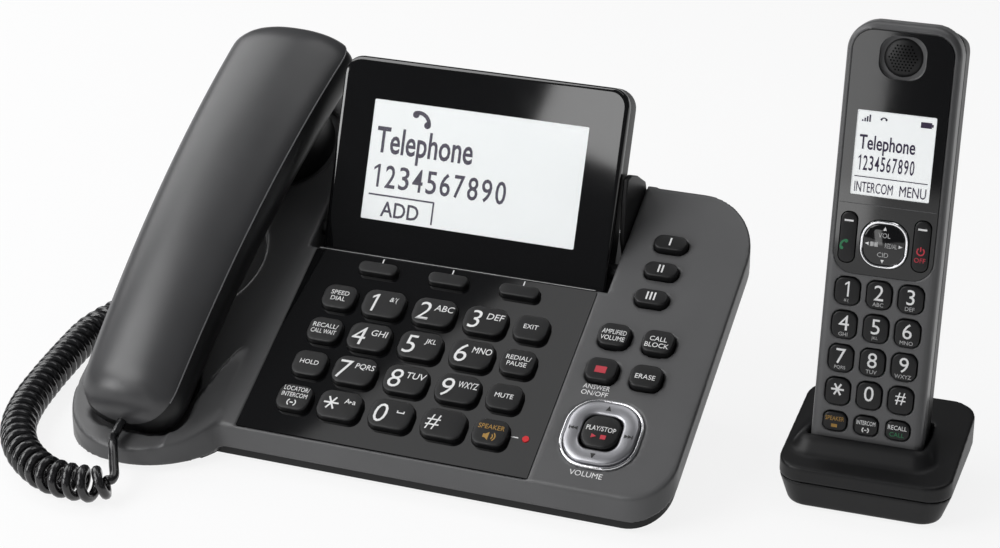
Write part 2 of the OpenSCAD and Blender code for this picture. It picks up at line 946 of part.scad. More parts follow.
// Smooth line through the route points
function route_at(q) =
  let (n = len(cord_route) - 1)
  let (k = min(n - 1, floor(q)))
  let (t = q - k)
  let (p1 = cord_route[k])
  let (p2 = cord_route[k + 1])
  let (p0 = k > 0 ? cord_route[k - 1] : 2 * p1 - p2)
  let (p3 = k < n - 1 ? cord_route[k + 2] : 2 * p2 - p1)
  0.5 * (2 * p1 + (p2 - p0) * t + (2 * p0 - 5 * p1 + 4 * p2 - p3) * t * t
    + (3 * p1 - p0 - 3 * p2 + p3) * t * t * t);
route_steps = 10;
route_count = (len(cord_route) - 1) * route_steps;
route = [for (i = [0:route_count]) route_at(i / route_steps)];
run = [for (i = 0, s = 0; i <= route_count; s = s + (i < route_count ? norm(route[i + 1] - route[i]) : 0),
  i = i + 1) s];
run_end = run[route_count];
along_x = [for (i = [0:route_count]) [run[i], route[i][0]]];
along_y = [for (i = [0:route_count]) [run[i], route[i][1]]];
along_z = [for (i = [0:route_count]) [run[i], route[i][2]]];
function along(s) = [lookup(s, along_x), lookup(s, along_y), lookup(s, along_z)];
function unit(v) = v / norm(v);

// Curls: they open up from the straight lead and close again before the base
coil_to = run_end - 26;
curls = floor((coil_to - coil_from) / curl_pitch);
function ease(x) = let (q = min(1, max(0, x))) q * q * (3 - 2 * q);
function curl_at(s) = curl_r * ease((s - coil_from) / coil_ramp)
  * ease((coil_from + curls * curl_pitch - s) / coil_ramp);
function cord_at(s) =
  let (t = unit(along(min(run_end, s + 1)) - along(max(0, s - 1))))
  let (side = unit(cross(t, [0, 0, 1])))
  let (up = cross(side, t))
  let (a = 360 * (s - coil_from) / curl_pitch)
  along(s) + curl_at(s) * (cos(a) * up + sin(a) * side);
lead_steps = 11;
tail_steps = 9;
coil_end = coil_from + curls * curl_pitch;
stations = concat(
  [0, 3.2],
  [for (i = [1:lead_steps - 1]) 3.2 + (coil_from - 3.2) * i / lead_steps],
  [for (i = [0:8 * curls]) coil_from + curl_pitch * i / 8],
  [for (i = [1:tail_steps - 1]) coil_end + (run_end - 3.2 - coil_end) * i / tail_steps],
  [run_end - 3.2, run_end]);
cord_line = [for (s = stations) cord_at(s)];
cord_n = len(cord_line);
cord_dir = [for (i = [0:cord_n - 1]) unit(cord_line[min(cord_n - 1, i + 1)] - cord_line[max(0, i - 1)])];
function off_line(u, d) = unit(u - d * (u * d));
cord_side = [for (i = 0, u = off_line([1, 0, 0], cord_dir[0]); i < cord_n;
  u = off_line(u, cord_dir[min(cord_n - 1, i + 1)]), i = i + 1) u];
cord_gap = min([for (i = [0:cord_n - 7], j = [i + 6:cord_n - 1])
  norm(cord_line[i] - cord_line[j])]) - 2 * cord_r;

module coil_cord() {
  echo(curls = curls, least_gap_of_the_cord_to_itself = cord_gap, cord_length = run_end);
  echo(cord_ends = [cord_route[0], cord_route[len(cord_route) - 1]]);
  sides = 6;
  points = [for (i = [0:cord_n - 1], j = [0:sides - 1])
    cord_line[i] + cord_r * (cos(360 * j / sides) * cord_side[i]
      + sin(360 * j / sides) * cross(cord_dir[i], cord_side[i]))];
  skin = [for (i = [0:cord_n - 2], j = [0:sides - 1])
    let (a = i * sides + j, b = i * sides + (j + 1) % sides)
    for (f = [[a, b + sides, b], [a, a + sides, b + sides]]) f];
  last = (cord_n - 1) * sides;
  ends = [for (j = [1:sides - 2])
    for (f = [[0, j, j + 1], [last, last + j + 1, last + j]]) f];
  color(key_black)
    polyhedron(points = points, faces = concat(skin, ends), convexity = 10);
}

module cord_plug_handset() {
  color(key_black)
    handset_frame()
      translate([plug_x - plug_w / 2, plug_y, plug_z - plug_h / 2])
        cube([plug_w, plug_l, plug_h]);
}

module cord_plug_base() {
  color(key_black)
    plan_frame()
      translate([jack_x - base_plug_l + 6, jack_y - plug_w / 2, jack_z - plug_h / 2])
        cube([base_plug_l, plug_w, plug_h]);
}

// Cordless handset

// Front outline of the cordless handset between two depths, drawn in by an inset
module cordless_plate(inset, z0, z1) {
  w = c_w - 2 * inset;
  top = 10 - inset;
  low = 4 - inset;
  translate([0, 0, z0])
    linear_extrude(z1 - z0) {
      translate([-w / 2, inset + low])
        square([w, c_len - 2 * inset - low - top]);
      translate([-w / 2 + low, inset])
        square([w - 2 * low, low]);
      translate([-w / 2 + top, c_len - inset - top])
        square([w - 2 * top, top]);
      for (s = [-1, 1]) {
        translate([s * (w / 2 - low), inset + low])
          circle(r = low);
        translate([s * (w / 2 - top), c_len - inset - top])
          circle(r = top);
      }
    }
}

module cordless_key(size, at, proud) {
  cordless_frame()
    translate([at[0], at[1], 0])
      key(size, c_flange, c_front + proud, 0.6, 0.8);
}

module cordless_hole(size, at) {
  translate([at[0], at[1], 0])
    plate(size[0] + 2 * key_gap, size[1] + 2 * key_gap, size[2] + key_gap, c_front - c_plate - 2, 40);
}

c_talk_at = [-12.3, c_nav_y + 1];
c_off_at = [12.3, c_nav_y + 1];
c_nav_at = [0, c_nav_y];

// Gloss panel over the upper part of the front
module cordless_panel_outline(inset, z0, z1) {
  w = c_w - 4.5 - 2 * inset;
  low = c_panel_y + inset;
  high = c_len - 2.5 - inset;
  translate([0, (low + high) / 2, 0])
    plate(w, high - low, 7 - inset, z0, z1);
}

module cordless_front_holes() {
  cordless_hole(c_long_key, c_talk_at);
  cordless_hole(c_long_key, c_off_at);
  cordless_hole([c_nav, c_nav, 6.5], c_nav_at);
  translate([0, c_lcd_y + c_lcd[1] / 2, 0])
    plate(c_lcd[0], c_lcd[1], 0.5, c_front - 20, 40);
  translate([0, c_ear_y, 0])
    plate(15.6, 14.4, 5.5, c_front - 1.6, 40);
}

module cordless_front_case() {
  color(grey)
    cordless_frame()
      difference() {
        cordless_plate(0, c_split, c_front);
        cordless_plate(c_wall, c_split - 1, c_front - c_plate);
        cordless_panel_outline(0, c_front - c_panel_t, 40);
        cordless_front_holes();
        for (i = [0:11])
          cordless_hole(c_key, c_dial_at(i));
        for (i = [0:2])
          cordless_hole(c_low_key, c_low_at(i));
      }
}

// Space behind the sloping top end of the rear case, lowered by an inset
module cordless_top_cut(inset) {
  translate([-c_w, c_len - 0.5 - inset, c_split])
    rotate([-c_top_slope, 0, 0])
      translate([0, 0, -40])
        cube([2 * c_w, 40, 80]);
}

module cordless_rear_case() {
  color(black)
    cordless_frame()
      difference() {
        union() {
          cordless_plate(0, c_back + 3, c_split);
          cordless_plate(1.2, c_back + 1.2, c_back + 3.01);
          cordless_plate(3, c_back, c_back + 1.21);
        }
        difference() {
          cordless_plate(c_wall, c_back + 4.2, c_split + 1);
          cordless_top_cut(c_wall);
        }
        cordless_top_cut(0);
        translate([0, 44, 0])
          plate(27.4, 54.4, 3, c_back - 1, c_back + 6);
      }
}

module cordless_window() {
  color(black)
    cordless_frame()
      difference() {
        cordless_panel_outline(seat_gap, c_front - c_panel_t, c_front);
        cordless_front_holes();
      }
}

module cordless_lcd() {
  color(white)
    cordless_frame()
      translate([0, c_lcd_y + c_lcd[1] / 2, 0]) {
        plate(c_lcd[0] + 5, c_lcd[1] + 5, 1, c_front - c_plate - 2, c_front - c_plate);
        plate(c_lcd[0] - 0.2, c_lcd[1] - 0.2, 0.4, c_front - c_plate - 0.01, c_front - 0.3);
      }
}

module cordless_circuit_board() {
  color(green)
    cordless_frame()
      translate([-c_w / 2 + c_wall + 0.1, 6, c_board - 1.2])
        cube([c_w - 2 * c_wall - 0.2, c_len - 20, 1.2]);
}

module cordless_battery_cover() {
  color(black)
    cordless_frame()
      translate([0, 44, 0])
        plate(27, 54, 2.8, c_back, c_back + 1.5);
}

module cordless_batteries() {
  color(chrome)
    cordless_frame()
      for (s = [-1, 1])
        translate([s * (c_cell_r + 0.3), 44, c_back + 1.5 + c_cell_r])
          rotate([90, 0, 0])
            cylinder(r = c_cell_r, h = c_cell_l, center = true);
}

module cordless_earpiece() {
  color(key_black)
    cordless_frame()
      translate([0, c_ear_y, c_front - 1.6])
        cylinder(r1 = 5.6, r2 = 4.4, h = 1.5);
}

module cordless_dial_keys() {
  color(key_black)
    for (i = [0:11])
      cordless_key(c_key, c_dial_at(i), 0.7);
}

module cordless_talk_key() {
  color(key_black)
    cordless_key(c_long_key, c_talk_at, 0.6);
}

module cordless_off_key() {
  color(key_black)
    cordless_key(c_long_key, c_off_at, 0.6);
}

module cordless_navigator() {
  color(chrome)
    cordless_key([c_nav, c_nav, 6.5], c_nav_at, 0.8);
}

module cordless_bottom_keys() {
  color(key_black)
    for (i = [0:2])
      cordless_key(c_low_key, c_low_at(i), 0.7);
}

// Charger

ch_slope = atan((ch_rear_h - ch_front_h) / ch_d);
ch_low_d = ch_d - 18;
ch_low_y = -7;

// Space below the sloping top of the charger, lowered by a drop
module charger_below(drop) {
  translate([0, -ch_d / 2, ch_front_h - drop])
    rotate([ch_slope, 0, 0])
      translate([-100, -100, -80])
        cube([200, 240, 80]);
}

// Cup round the foot of the cordless handset, grown by a wall
module charger_cup(grow, low) {
  cordless_frame()
    translate([0, low, (c_front + c_back) / 2])
      rotate([-90, 0, 0])
        linear_extrude(70)
          rrect(c_w + 2 * (cup_gap + grow), c_t + 2 * (cup_gap + grow), 1.5 + grow / 2);
}

module charger_upper_case() {
  color(key_black)
    difference() {
      union() {
        charger_frame()
          difference() {
            intersection() {
              translate([0, 0, ch_split])
                linear_extrude(60)
                  rrect(ch_w, ch_d, 9);
              charger_below(0);
            }
            intersection() {
              translate([0, 0, ch_split - 1])
                linear_extrude(60)
                  rrect(ch_w - 2 * wall, ch_d - 2 * wall, 9 - wall);
              charger_below(2);
            }
          }
        intersection() {
          charger_cup(2, -1.8);
          charger_frame()
            charger_below(0);
        }
        intersection() {
          cordless_frame()
            hull() {
              translate([0, 5, (c_front + c_back) / 2])
                rotate([-90, 0, 0])
                  linear_extrude(0.1)
                    rrect(c_w + 16, c_t + 16, 9, $fn = 32);
              translate([0, 13, (c_front + c_back) / 2])
                rotate([-90, 0, 0])
                  linear_extrude(0.1)
                    rrect(c_w + 6, c_t + 6, 5, $fn = 32);
            }
          charger_frame()
            difference() {
              translate([0, 0, ch_split])
                linear_extrude(60)
                  rrect(ch_w - 0.6, ch_d - 0.6, 8.7);
              charger_below(2.2);
            }
        }
      }
      charger_cup(0, 0);
      cordless_frame()
        for (s = [-1, 1])
          translate([s * 9 - 1.5 - seat_gap, -1, -4 - seat_gap])
            cube([3 + 2 * seat_gap, 2, 6 + 2 * seat_gap]);
    }
}

module charger_lower_case() {
  color(key_black)
    charger_frame()
      difference() {
        hull() {
          translate([0, ch_low_y, 1.2])
            linear_extrude(0.1)
              rrect(ch_w - 7, ch_low_d, 7, $fn = 32);
          translate([0, 0, ch_split - 0.1])
            linear_extrude(0.1)
              rrect(ch_w, ch_d, 9, $fn = 32);
        }
        hull() {
          translate([0, ch_low_y, 1.2 + 1.6])
            linear_extrude(0.1)
              rrect(ch_w - 7 - 2 * wall, ch_low_d - 2 * wall, 5, $fn = 32);
          translate([0, 0, ch_split])
            linear_extrude(0.1)
              rrect(ch_w - 2 * wall, ch_d - 2 * wall, 7, $fn = 32);
        }
        for (x = [-1, 1], y = [-1, 1])
          translate([x * 19, ch_low_y + y * 10, 0])
            cylinder(r = 3.5, h = 1.6);
      }
}

module charger_contacts() {
  color(copper)
    cordless_frame()
      for (s = [-1, 1])
        translate([s * 9 - 1.5, -1, -4])
          cube([3, 1, 6]);
}

module charger_feet() {
  color(key_black)
    charger_frame()
      for (x = [-1, 1], y = [-1, 1])
        translate([x * 19, ch_low_y + y * 10, 0])
          cylinder(r = 3.5, h = 1.6);
}

base_upper_case();
base_lower_case();
keypad_panel();
base_circuit_board();
base_key_mat();
base_loudspeaker();
base_feet();
base_screws();
navigator_trim();
speakerphone_lamp();
base_sockets();
hook_switch();
display_front_frame();
display_window();
display_lcd();
display_rear_cover();
display_hinge_pins();
dial_key(0);  // dial_key_1
dial_key(1);  // dial_key_2
dial_key(2);  // dial_key_3
dial_key(3);  // dial_key_4
dial_key(4);  // dial_key_5
dial_key(5);  // dial_key_6
dial_key(6);  // dial_key_7
dial_key(7);  // dial_key_8
dial_key(8);  // dial_key_9
dial_key(9);  // dial_key_star
dial_key(10);  // dial_key_0
dial_key(11);  // dial_key_hash
side_keys(-1);  // left_function_keys
side_keys(1);  // right_function_keys
soft_keys();
one_touch_keys();
message_keys();
navigator_key();
play_stop_key();
handset_outer_shell();
handset_inner_shell();
handset_receiver();
handset_microphone();
coil_cord();
cord_plug_handset();
cord_plug_base();
cordless_front_case();
cordless_rear_case();
cordless_window();
cordless_lcd();
cordless_circuit_board();
cordless_battery_cover();
cordless_batteries();
cordless_earpiece();
cordless_dial_keys();
cordless_talk_key();
cordless_off_key();
cordless_navigator();
cordless_bottom_keys();
charger_upper_case();
charger_lower_case();
charger_contacts();
charger_feet();
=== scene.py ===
# Looks of the desk telephone set: smooth cases, handsets, keys with legends, displays and the curly cord,
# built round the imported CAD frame. Sizes are in millimetres in each part's own frame, as in the part's source.
import math

import bmesh
import bpy
import numpy as np
from mathutils import Matrix, Vector


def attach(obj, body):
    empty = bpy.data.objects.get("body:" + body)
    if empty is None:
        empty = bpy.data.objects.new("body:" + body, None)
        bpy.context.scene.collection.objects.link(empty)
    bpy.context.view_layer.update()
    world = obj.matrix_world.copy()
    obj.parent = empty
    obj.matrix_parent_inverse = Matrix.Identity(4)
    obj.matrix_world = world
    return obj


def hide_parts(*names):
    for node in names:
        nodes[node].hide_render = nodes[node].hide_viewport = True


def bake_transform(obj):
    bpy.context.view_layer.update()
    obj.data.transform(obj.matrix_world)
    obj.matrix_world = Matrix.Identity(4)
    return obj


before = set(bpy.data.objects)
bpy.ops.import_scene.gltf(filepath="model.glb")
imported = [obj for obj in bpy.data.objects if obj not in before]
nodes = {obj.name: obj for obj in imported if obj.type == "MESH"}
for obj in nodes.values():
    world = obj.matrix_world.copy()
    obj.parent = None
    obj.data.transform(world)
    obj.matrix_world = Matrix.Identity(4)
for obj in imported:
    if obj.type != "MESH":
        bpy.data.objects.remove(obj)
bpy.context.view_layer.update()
MM = 0.001
collection = bpy.context.scene.collection


# Frames of the parts, as 4x4 matrices in millimetres


def move(x, y, z):
    m = np.eye(4)
    m[:3, 3] = x, y, z
    return m


def unit(degrees):
    """Cosine and sine of an angle."""
    return math.cos(math.radians(degrees)), math.sin(math.radians(degrees))


def turn_x(degrees):
    c, s = unit(degrees)
    m = np.eye(4)
    m[1:3, 1:3] = [[c, -s], [s, c]]
    return m


def turn_z(degrees):
    c, s = unit(degrees)
    m = np.eye(4)
    m[:2, :2] = [[c, -s], [s, c]]
    return m


SLAB_TILT = 29
SLAB_COS, SLAB_SIN = unit(SLAB_TILT)
FRONT_H = 13.5
LOBE_Y, ARM_Y = 9.5, 112
LOBE_V, EAR_V = LOBE_Y / SLAB_COS, ARM_Y / SLAB_COS
CRADLE_U, CRADLE_R = 90, 30
HAND_YAW, DISPLAY_TILT, CHARGER_YAW = 1.5, 40, 1.5
BASE_AT, HINGE_AT, CHARGER_AT = (-34.5, -61, FRONT_H), (0, 95, -5.5), (124.5, 3.2, 0)
YAW_COS, YAW_SIN = unit(HAND_YAW)
EAR_Y = (EAR_V - LOBE_V) / YAW_COS
BASE = move(*BASE_AT) @ turn_x(SLAB_TILT)
DISPLAY = BASE @ move(*HINGE_AT) @ turn_x(DISPLAY_TILT)
HANDSET = BASE @ move(-CRADLE_U, LOBE_V, 0) @ turn_z(-HAND_YAW)
CHARGER = move(*CHARGER_AT) @ turn_z(CHARGER_YAW)
CUP_AT, CUP_LEAN = (-2.5, -3.9, 8), 80
CORDLESS = CHARGER @ move(*CUP_AT) @ turn_x(CUP_LEAN)


def place(points, to):
    """Points of a part's own frame, in metres in the row frame."""
    p = np.asarray(points, float).reshape(-1, 3)
    return (p @ to[:3, :3].T + to[:3, 3]) * MM


# Materials

TONE_SCALE, GLOSS_SCALE = 45, 160
COAT_ROUGH, GRAIN_DEPTH = 0.06, 0.05


def put(node, **values):
    """Values of a node's inputs, with _ for the spaces in their names."""
    for key, value in values.items():
        node.inputs[key.replace("_", " ")].default_value = value


def shader(name, color, rough, metallic=0.0, coat=0.0, spread=0.06, grain=0.0, grain_mm=0.35, uneven=0.04,
           specular=0.5, **more):
    """Procedural finish: a tone that drifts a little, uneven gloss and a moulded grain. more sets other inputs."""
    m = bpy.data.materials.new(name)
    m.use_nodes = True
    tree = m.node_tree
    bsdf = tree.nodes["Principled BSDF"]
    put(bsdf, Metallic=metallic, Specular_IOR_Level=specular, Coat_Weight=coat, Coat_Roughness=COAT_ROUGH, **more)
    link = tree.links.new
    where = tree.nodes.new("ShaderNodeTexCoord")

    def noise(scale, detail):
        n = tree.nodes.new("ShaderNodeTexNoise")
        put(n, Scale=scale, Detail=detail)
        link(where.outputs["Object"], n.inputs["Vector"])
        return n.outputs["Fac"]

    tone = tree.nodes.new("ShaderNodeValToRGB")
    low, high = tone.color_ramp.elements
    low.position, high.position = 0.3, 0.7
    low.color = [c * (1 - spread) for c in color] + [1]
    high.color = [min(1, c * (1 + spread)) for c in color] + [1]
    link(noise(TONE_SCALE, 4), tone.inputs["Fac"])
    link(tone.outputs["Color"], bsdf.inputs["Base Color"])
    gloss = tree.nodes.new("ShaderNodeMapRange")
    put(gloss, To_Min=max(0.01, rough - uneven), To_Max=rough + uneven)
    link(noise(GLOSS_SCALE, 3), gloss.inputs["Value"])
    link(gloss.outputs["Result"], bsdf.inputs["Roughness"])
    if grain:
        bump = tree.nodes.new("ShaderNodeBump")
        put(bump, Strength=grain, Distance=GRAIN_DEPTH * MM)
        link(noise(1 / (grain_mm * MM), 2), bump.inputs["Height"])
        link(bump.outputs["Normal"], bsdf.inputs["Normal"])
    return m


def glowing(name, color, strength, rough):
    """A back-lit face: its own light is the same all over."""
    return shader(name, color, rough, spread=0.01, Emission_Color=[*color, 1], Emission_Strength=strength)


SATIN = shader("satin_grey", (0.094, 0.094, 0.096), 0.36, grain=0.10, specular=0.4)
# The handset's shell is the base's satin grey made darker: painted shade on the handset.
SHADED_SATIN_SHELL = shader("satin_shell_painted_shade", (0.048, 0.048, 0.050), 0.34, grain=0.08, specular=0.5)
# Light grey of the seam bead: a painted highlight along the handset's parting line.
SEAM_HIGHLIGHT = shader("seam_painted_highlight", (0.16, 0.16, 0.165), 0.35)
MATT = shader("black_case", (0.008, 0.008, 0.0085), 0.44, grain=0.14, specular=0.3)
GLOSS = shader("gloss_black", (0.004, 0.004, 0.0045), 0.05, coat=0.2, uneven=0.015)
KEY = shader("key_black", (0.006, 0.006, 0.0065), 0.40, grain=0.12, grain_mm=0.25, specular=0.35)
RUBBER = shader("foot_rubber", (0.02, 0.02, 0.02), 0.75, grain=0.2)
MAT_RUBBER = shader("rubber_mat", (0.5, 0.5, 0.48), 0.6, grain=0.1)
BOARD = shader("board_green", (0.02, 0.12, 0.06), 0.35, grain=0.1)
STEEL = shader("screw_steel", (0.55, 0.55, 0.56), 0.3, metallic=1)
CHROME = shader("chrome_trim", (0.85, 0.85, 0.87), 0.09, metallic=1, uneven=0.02)
SILVER = shader("silver_satin", (0.36, 0.36, 0.38), 0.34, metallic=1, spread=0.02, uneven=0.02)
SPEAKER = shader("speaker_metal", (0.12, 0.12, 0.12), 0.4, metallic=1)
BRASS = shader("contact_brass", (0.75, 0.6, 0.3), 0.25, metallic=1)
CELL = shader("cell_metal", (0.5, 0.5, 0.52), 0.35, metallic=1)
CORD = shader("cord_black", (0.011, 0.011, 0.012), 0.22, coat=0.25, uneven=0.03)
LENS = glowing("red_lens", (0.5, 0.01, 0.015), 0.2, 0.15)
LCD = glowing("lcd_white", (0.80, 0.82, 0.82), 0.3, 0.5)
PANE = shader("clear_pane", (0.6, 0.62, 0.63), 0.04, spread=0.02, uneven=0.01, Alpha=0.05)
INK = shader("lcd_ink", (0.022, 0.010, 0.045), 0.5)
WHITE = shader("print_white", (0.78, 0.78, 0.78), 0.5)
SOFT_WHITE = shader("print_grey", (0.42, 0.42, 0.42), 0.5)
AMBER = shader("print_amber", (0.36, 0.2, 0.035), 0.5)
RED = shader("print_red", (0.5, 0.03, 0.05), 0.5)
GREEN = shader("print_green", (0.012, 0.16, 0.06), 0.5)
# Near-black for small holes: painted shade where the holes are.
HOLE_SHADE = shader("painted_hole_shade", (0.001, 0.001, 0.001), 0.9, specular=0.1)
# Black print, also used for the handset's sound holes, where it is painted shade.
DARK_PRINT_AND_HOLE_SHADE = shader("print_black_and_hole_shade", (0.012, 0.012, 0.012), 0.5)


# Making pieces


def in_scene(name, data):
    """A new object with this data, put in the scene."""
    ob = bpy.data.objects.new(name, data)
    collection.objects.link(ob)
    return ob


def piece(name, points, faces, to, material, body, stands_for=(), slot=None, sharp=35, marks=None):
    """A closed mesh on a body, in a part's frame. marks gives each face's place in a list of materials."""
    mesh = bpy.data.meshes.new(name)
    mesh.from_pydata(place(points, to).tolist(), [], [tuple(int(i) for i in f) for f in faces])
    materials = material if isinstance(material, list) else [material]
    for m in materials:
        mesh.materials.append(m)
    if marks is not None:
        mesh.polygons.foreach_set("material_index", np.asarray(marks, np.int32))
    tidy = bmesh.new()
    tidy.from_mesh(mesh)
    bmesh.ops.recalc_face_normals(tidy, faces=tidy.faces)
    tidy.to_mesh(mesh)
    tidy.free()
    mesh.polygons.foreach_set("use_smooth", np.ones(len(mesh.polygons), bool))
    mesh.set_sharp_from_angle(angle=math.radians(sharp))
    ob = in_scene(name, mesh)
    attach(ob, body)
    if stands_for:
        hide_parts(*stands_for)
    return ob


class Shape:
    """Points and faces that are gathered into one piece."""

    def __init__(self):
        self.points, self.faces, self.marks = [], [], []

    def add(self, points, faces, mark=0):
        at = len(self.points)
        self.points += [tuple(p) for p in points]
        self.faces += [tuple(at + i for i in f) for f in faces]
        self.marks += [mark] * len(faces)

    def make(self, name, to, material, body, stands_for=(), slot=None):
        return piece(name, self.points, self.faces, to, material, body, stands_for, slot, marks=self.marks)


def loft(rings, close=True):
    """Points and faces of a skin through rings of equally many points, closed at both ends."""
    n = len(rings[0])
    points = [p for r in rings for p in r]
    faces = [
        (k * n + j, k * n + (j + 1) % n, (k + 1) * n + (j + 1) % n, (k + 1) * n + j)
        for k in range(len(rings) - 1)
        for j in range(n)
    ]
    if close:
        faces += [tuple(range(n))[::-1], tuple(range(len(points) - n, len(points)))]
    return points, faces


def polar(x, y, r, a):
    """The point at a distance and an angle from (x, y)."""
    return x + r * math.cos(a), y + r * math.sin(a)


def outline(w, h, round_r, inset=0.0, at=(0, 0), steps=6, low_r=None):
    """Rounded rectangle in the plane, drawn in by an inset. Its lower corners can have their own radius."""
    hw, hh = w / 2 - inset, h / 2 - inset
    out = []
    for q, (sx, sy) in enumerate(((1, 1), (-1, 1), (-1, -1), (1, -1))):
        r = max((low_r if low_r and sy < 0 else round_r) - inset, 0.05)
        for k in range(steps + 1):
            a = math.radians(90 * q + 90 * k / steps)
            out.append(polar(at[0] + sx * (hw - r), at[1] + sy * (hh - r), r, a))
    return out


def circle(x, y, r, sides):
    return [polar(x, y, r, a) for a in np.arange(sides) * 2 * math.pi / sides]


def level(flat, z):
    """Points of the plane at one height."""
    return [(x, y, z) for x, y in flat]


def hoop(rings):
    """Points and faces of a skin through rings that ends where it begins."""
    return loft(rings + [rings[0]], close=False)


def square_hoop(size, round_r, at, profile):
    """A rounded square hoop with a profile of (inset, height)."""
    return hoop([level(outline(size, size, round_r, inset, at, 8), z) for inset, z in profile])


def soften(ob, width, **more):
    """Rounded edges on a piece, by a bevel in millimetres."""
    rim = ob.modifiers.new("soft_rim", "BEVEL")
    rim.width, rim.segments = width * MM, 2
    for key, value in more.items():
        setattr(rim, key, value)


def key_cap(size, at, foot, top, edge, dome):
    """A key: straight sides, a rounded edge and a slightly crowned top."""
    w, h, r = size
    rings = [level(outline(w, h, r, 0, at), foot)]
    for a in np.radians((0, 22.5, 45, 67.5, 90)):
        rings.append(level(outline(w, h, r, edge * (1 - math.cos(a)), at), top - edge + edge * math.sin(a)))
    inner = rings[-1]
    for share in (0.8, 0.55, 0.3, 0.1):
        crown = [(at[0] + (x - at[0]) * share, at[1] + (y - at[1]) * share) for x, y, _ in inner]
        rings.append(level(crown, top + dome * (1 - share**2)))
    return loft(rings)


# Solid shapes by distance: negative inside, meshed on a grid


def box2(x, y, w, h, r, at=(0, 0)):
    """Distance to a rounded rectangle."""
    qx, qy = np.abs(x - at[0]) - w / 2 + r, np.abs(y - at[1]) - h / 2 + r
    return np.minimum(np.maximum(qx, qy), 0) + np.hypot(np.maximum(qx, 0), np.maximum(qy, 0)) - r


def both(a, b, k):
    """Where both shapes are, with the edge rounded by k."""
    return np.maximum(a, b) + np.maximum(k - np.abs(a - b), 0) ** 2 / (4 * k)


def either(a, b, k):
    """Both shapes joined, with the corner filled by k."""
    return -both(-a, -b, k)


def without(d, cuts):
    """A shape with sharp-edged cuts."""
    for c in cuts:
        d = np.maximum(d, -c)
    return d


def net(distance, low, high, step):
    """Points and faces of the surface where the distance is zero, one point in each grid cell that it crosses."""
    low, step = np.array(low, float), np.array(step, float)
    axes = [np.arange(low[i], high[i] + step[i], step[i]) for i in range(3)]
    field = distance(*np.meshgrid(*axes, indexing="ij", sparse=True))
    field = np.broadcast_to(field, [len(a) for a in axes]).astype(np.float32)
    inside = field < 0
    corners = [np.array([i, j, k]) for i in (0, 1) for j in (0, 1) for k in (0, 1)]
    size = [n - 1 for n in inside.shape]
    count = sum(inside[tuple(slice(c[i], c[i] + size[i]) for i in range(3))].astype(np.int8) for c in corners)
    cells = np.argwhere((count > 0) & (count < 8))
    total, crossings = np.zeros((len(cells), 3)), np.zeros(len(cells))
    for a in corners:
        for axis in range(3):
            if a[axis]:
                continue
            b = a.copy()
            b[axis] = 1
            fa, fb = field[tuple((cells + a).T)], field[tuple((cells + b).T)]
            cross = (fa < 0) != (fb < 0)
            share = fa[cross] / (fa[cross] - fb[cross])
            total[cross] += a + share[:, None] * (b - a)
            crossings[cross] += 1
    points = low + (cells + total / crossings[:, None]) * step
    number = np.full(size, -1, np.int32)
    number[tuple(cells.T)] = np.arange(len(cells))
    quads = []
    for axis in range(3):
        one, two = (axis + 1) % 3, (axis + 2) % 3
        first = np.take(inside, range(inside.shape[axis] - 1), axis)
        second = np.take(inside, range(1, inside.shape[axis]), axis)
        edges = np.argwhere(first != second)
        for side in (one, two):
            edges = edges[(edges[:, side] > 0) & (edges[:, side] < size[side])]
        out = first[tuple(edges.T)]
        e1, e2 = np.eye(3, dtype=int)[one], np.eye(3, dtype=int)[two]
        ring = np.stack([number[tuple((edges - d).T)] for d in (0 * e1, e1, e1 + e2, e2)], 1)
        ring[~out] = ring[~out][:, ::-1]
        quads.append(ring)
    return points, np.concatenate(quads)


def moulded(name, distance, low, high, step, to, material, body, stands_for, slot, keep=0.35):
    """A moulded piece from a distance, with its flat faces thinned out."""
    points, quads = net(distance, low, high, step)
    ob = piece(name, points, quads, to, material, body, stands_for, slot, sharp=60)
    thin = ob.modifiers.new("thin", "DECIMATE")
    thin.ratio = keep
    even = ob.modifiers.new("even", "WEIGHTED_NORMAL")
    even.keep_sharp = True
    return ob


# Camera


EYE, TARGET = Vector((0.2781, -0.7511, 0.4173)), Vector((-0.0047, -0.0216, 0.069))
LENS_MM, SENSOR_MM = 90, 36


def make_camera():
    data = bpy.data.cameras.new("camera")
    data.lens, data.sensor_width = LENS_MM, SENSOR_MM
    cam = in_scene("camera", data)
    cam.location = EYE
    cam.rotation_euler = (TARGET - EYE).to_track_quat("-Z", "Y").to_euler()
    bpy.context.scene.camera = cam


make_camera()


# Curly cord: the same route as in the part's source

CORD_R, CURL_R, CURL_PITCH = 1.7, 4.8, 5
COIL_FROM, COIL_RAMP, COIL_TAIL = 32, 4, 26
SPAN_POINTS, LEAD_POINTS, CURL_POINTS, TAIL_POINTS = 10, 36, 20, 24
PLUG_X, PLUG_Y, PLUG_Z = -0.5, -21, 8.5
CORD_MID = [
    (-122, -88, 13), (-118, -95, 10), (-115.5, -100, 7.8), (-118, -104, 7), (-124, -105.5, 6.8), (-132, -105.5, 6.7),
    (-141, -103, 6.7), (-152, -95.5, 6.7), (-161, -86, 6.7), (-168, -74, 6.7), (-173, -59, 6.7), (-176.5, -42, 6.7),
    (-179, -26, 6.7), (-181, -11, 6.7), (-182, 2, 6.7), (-179.5, 15, 7.2), (-172.5, 25, 9.6),
]
CORD_END = np.array([-153.5, 30, 14])


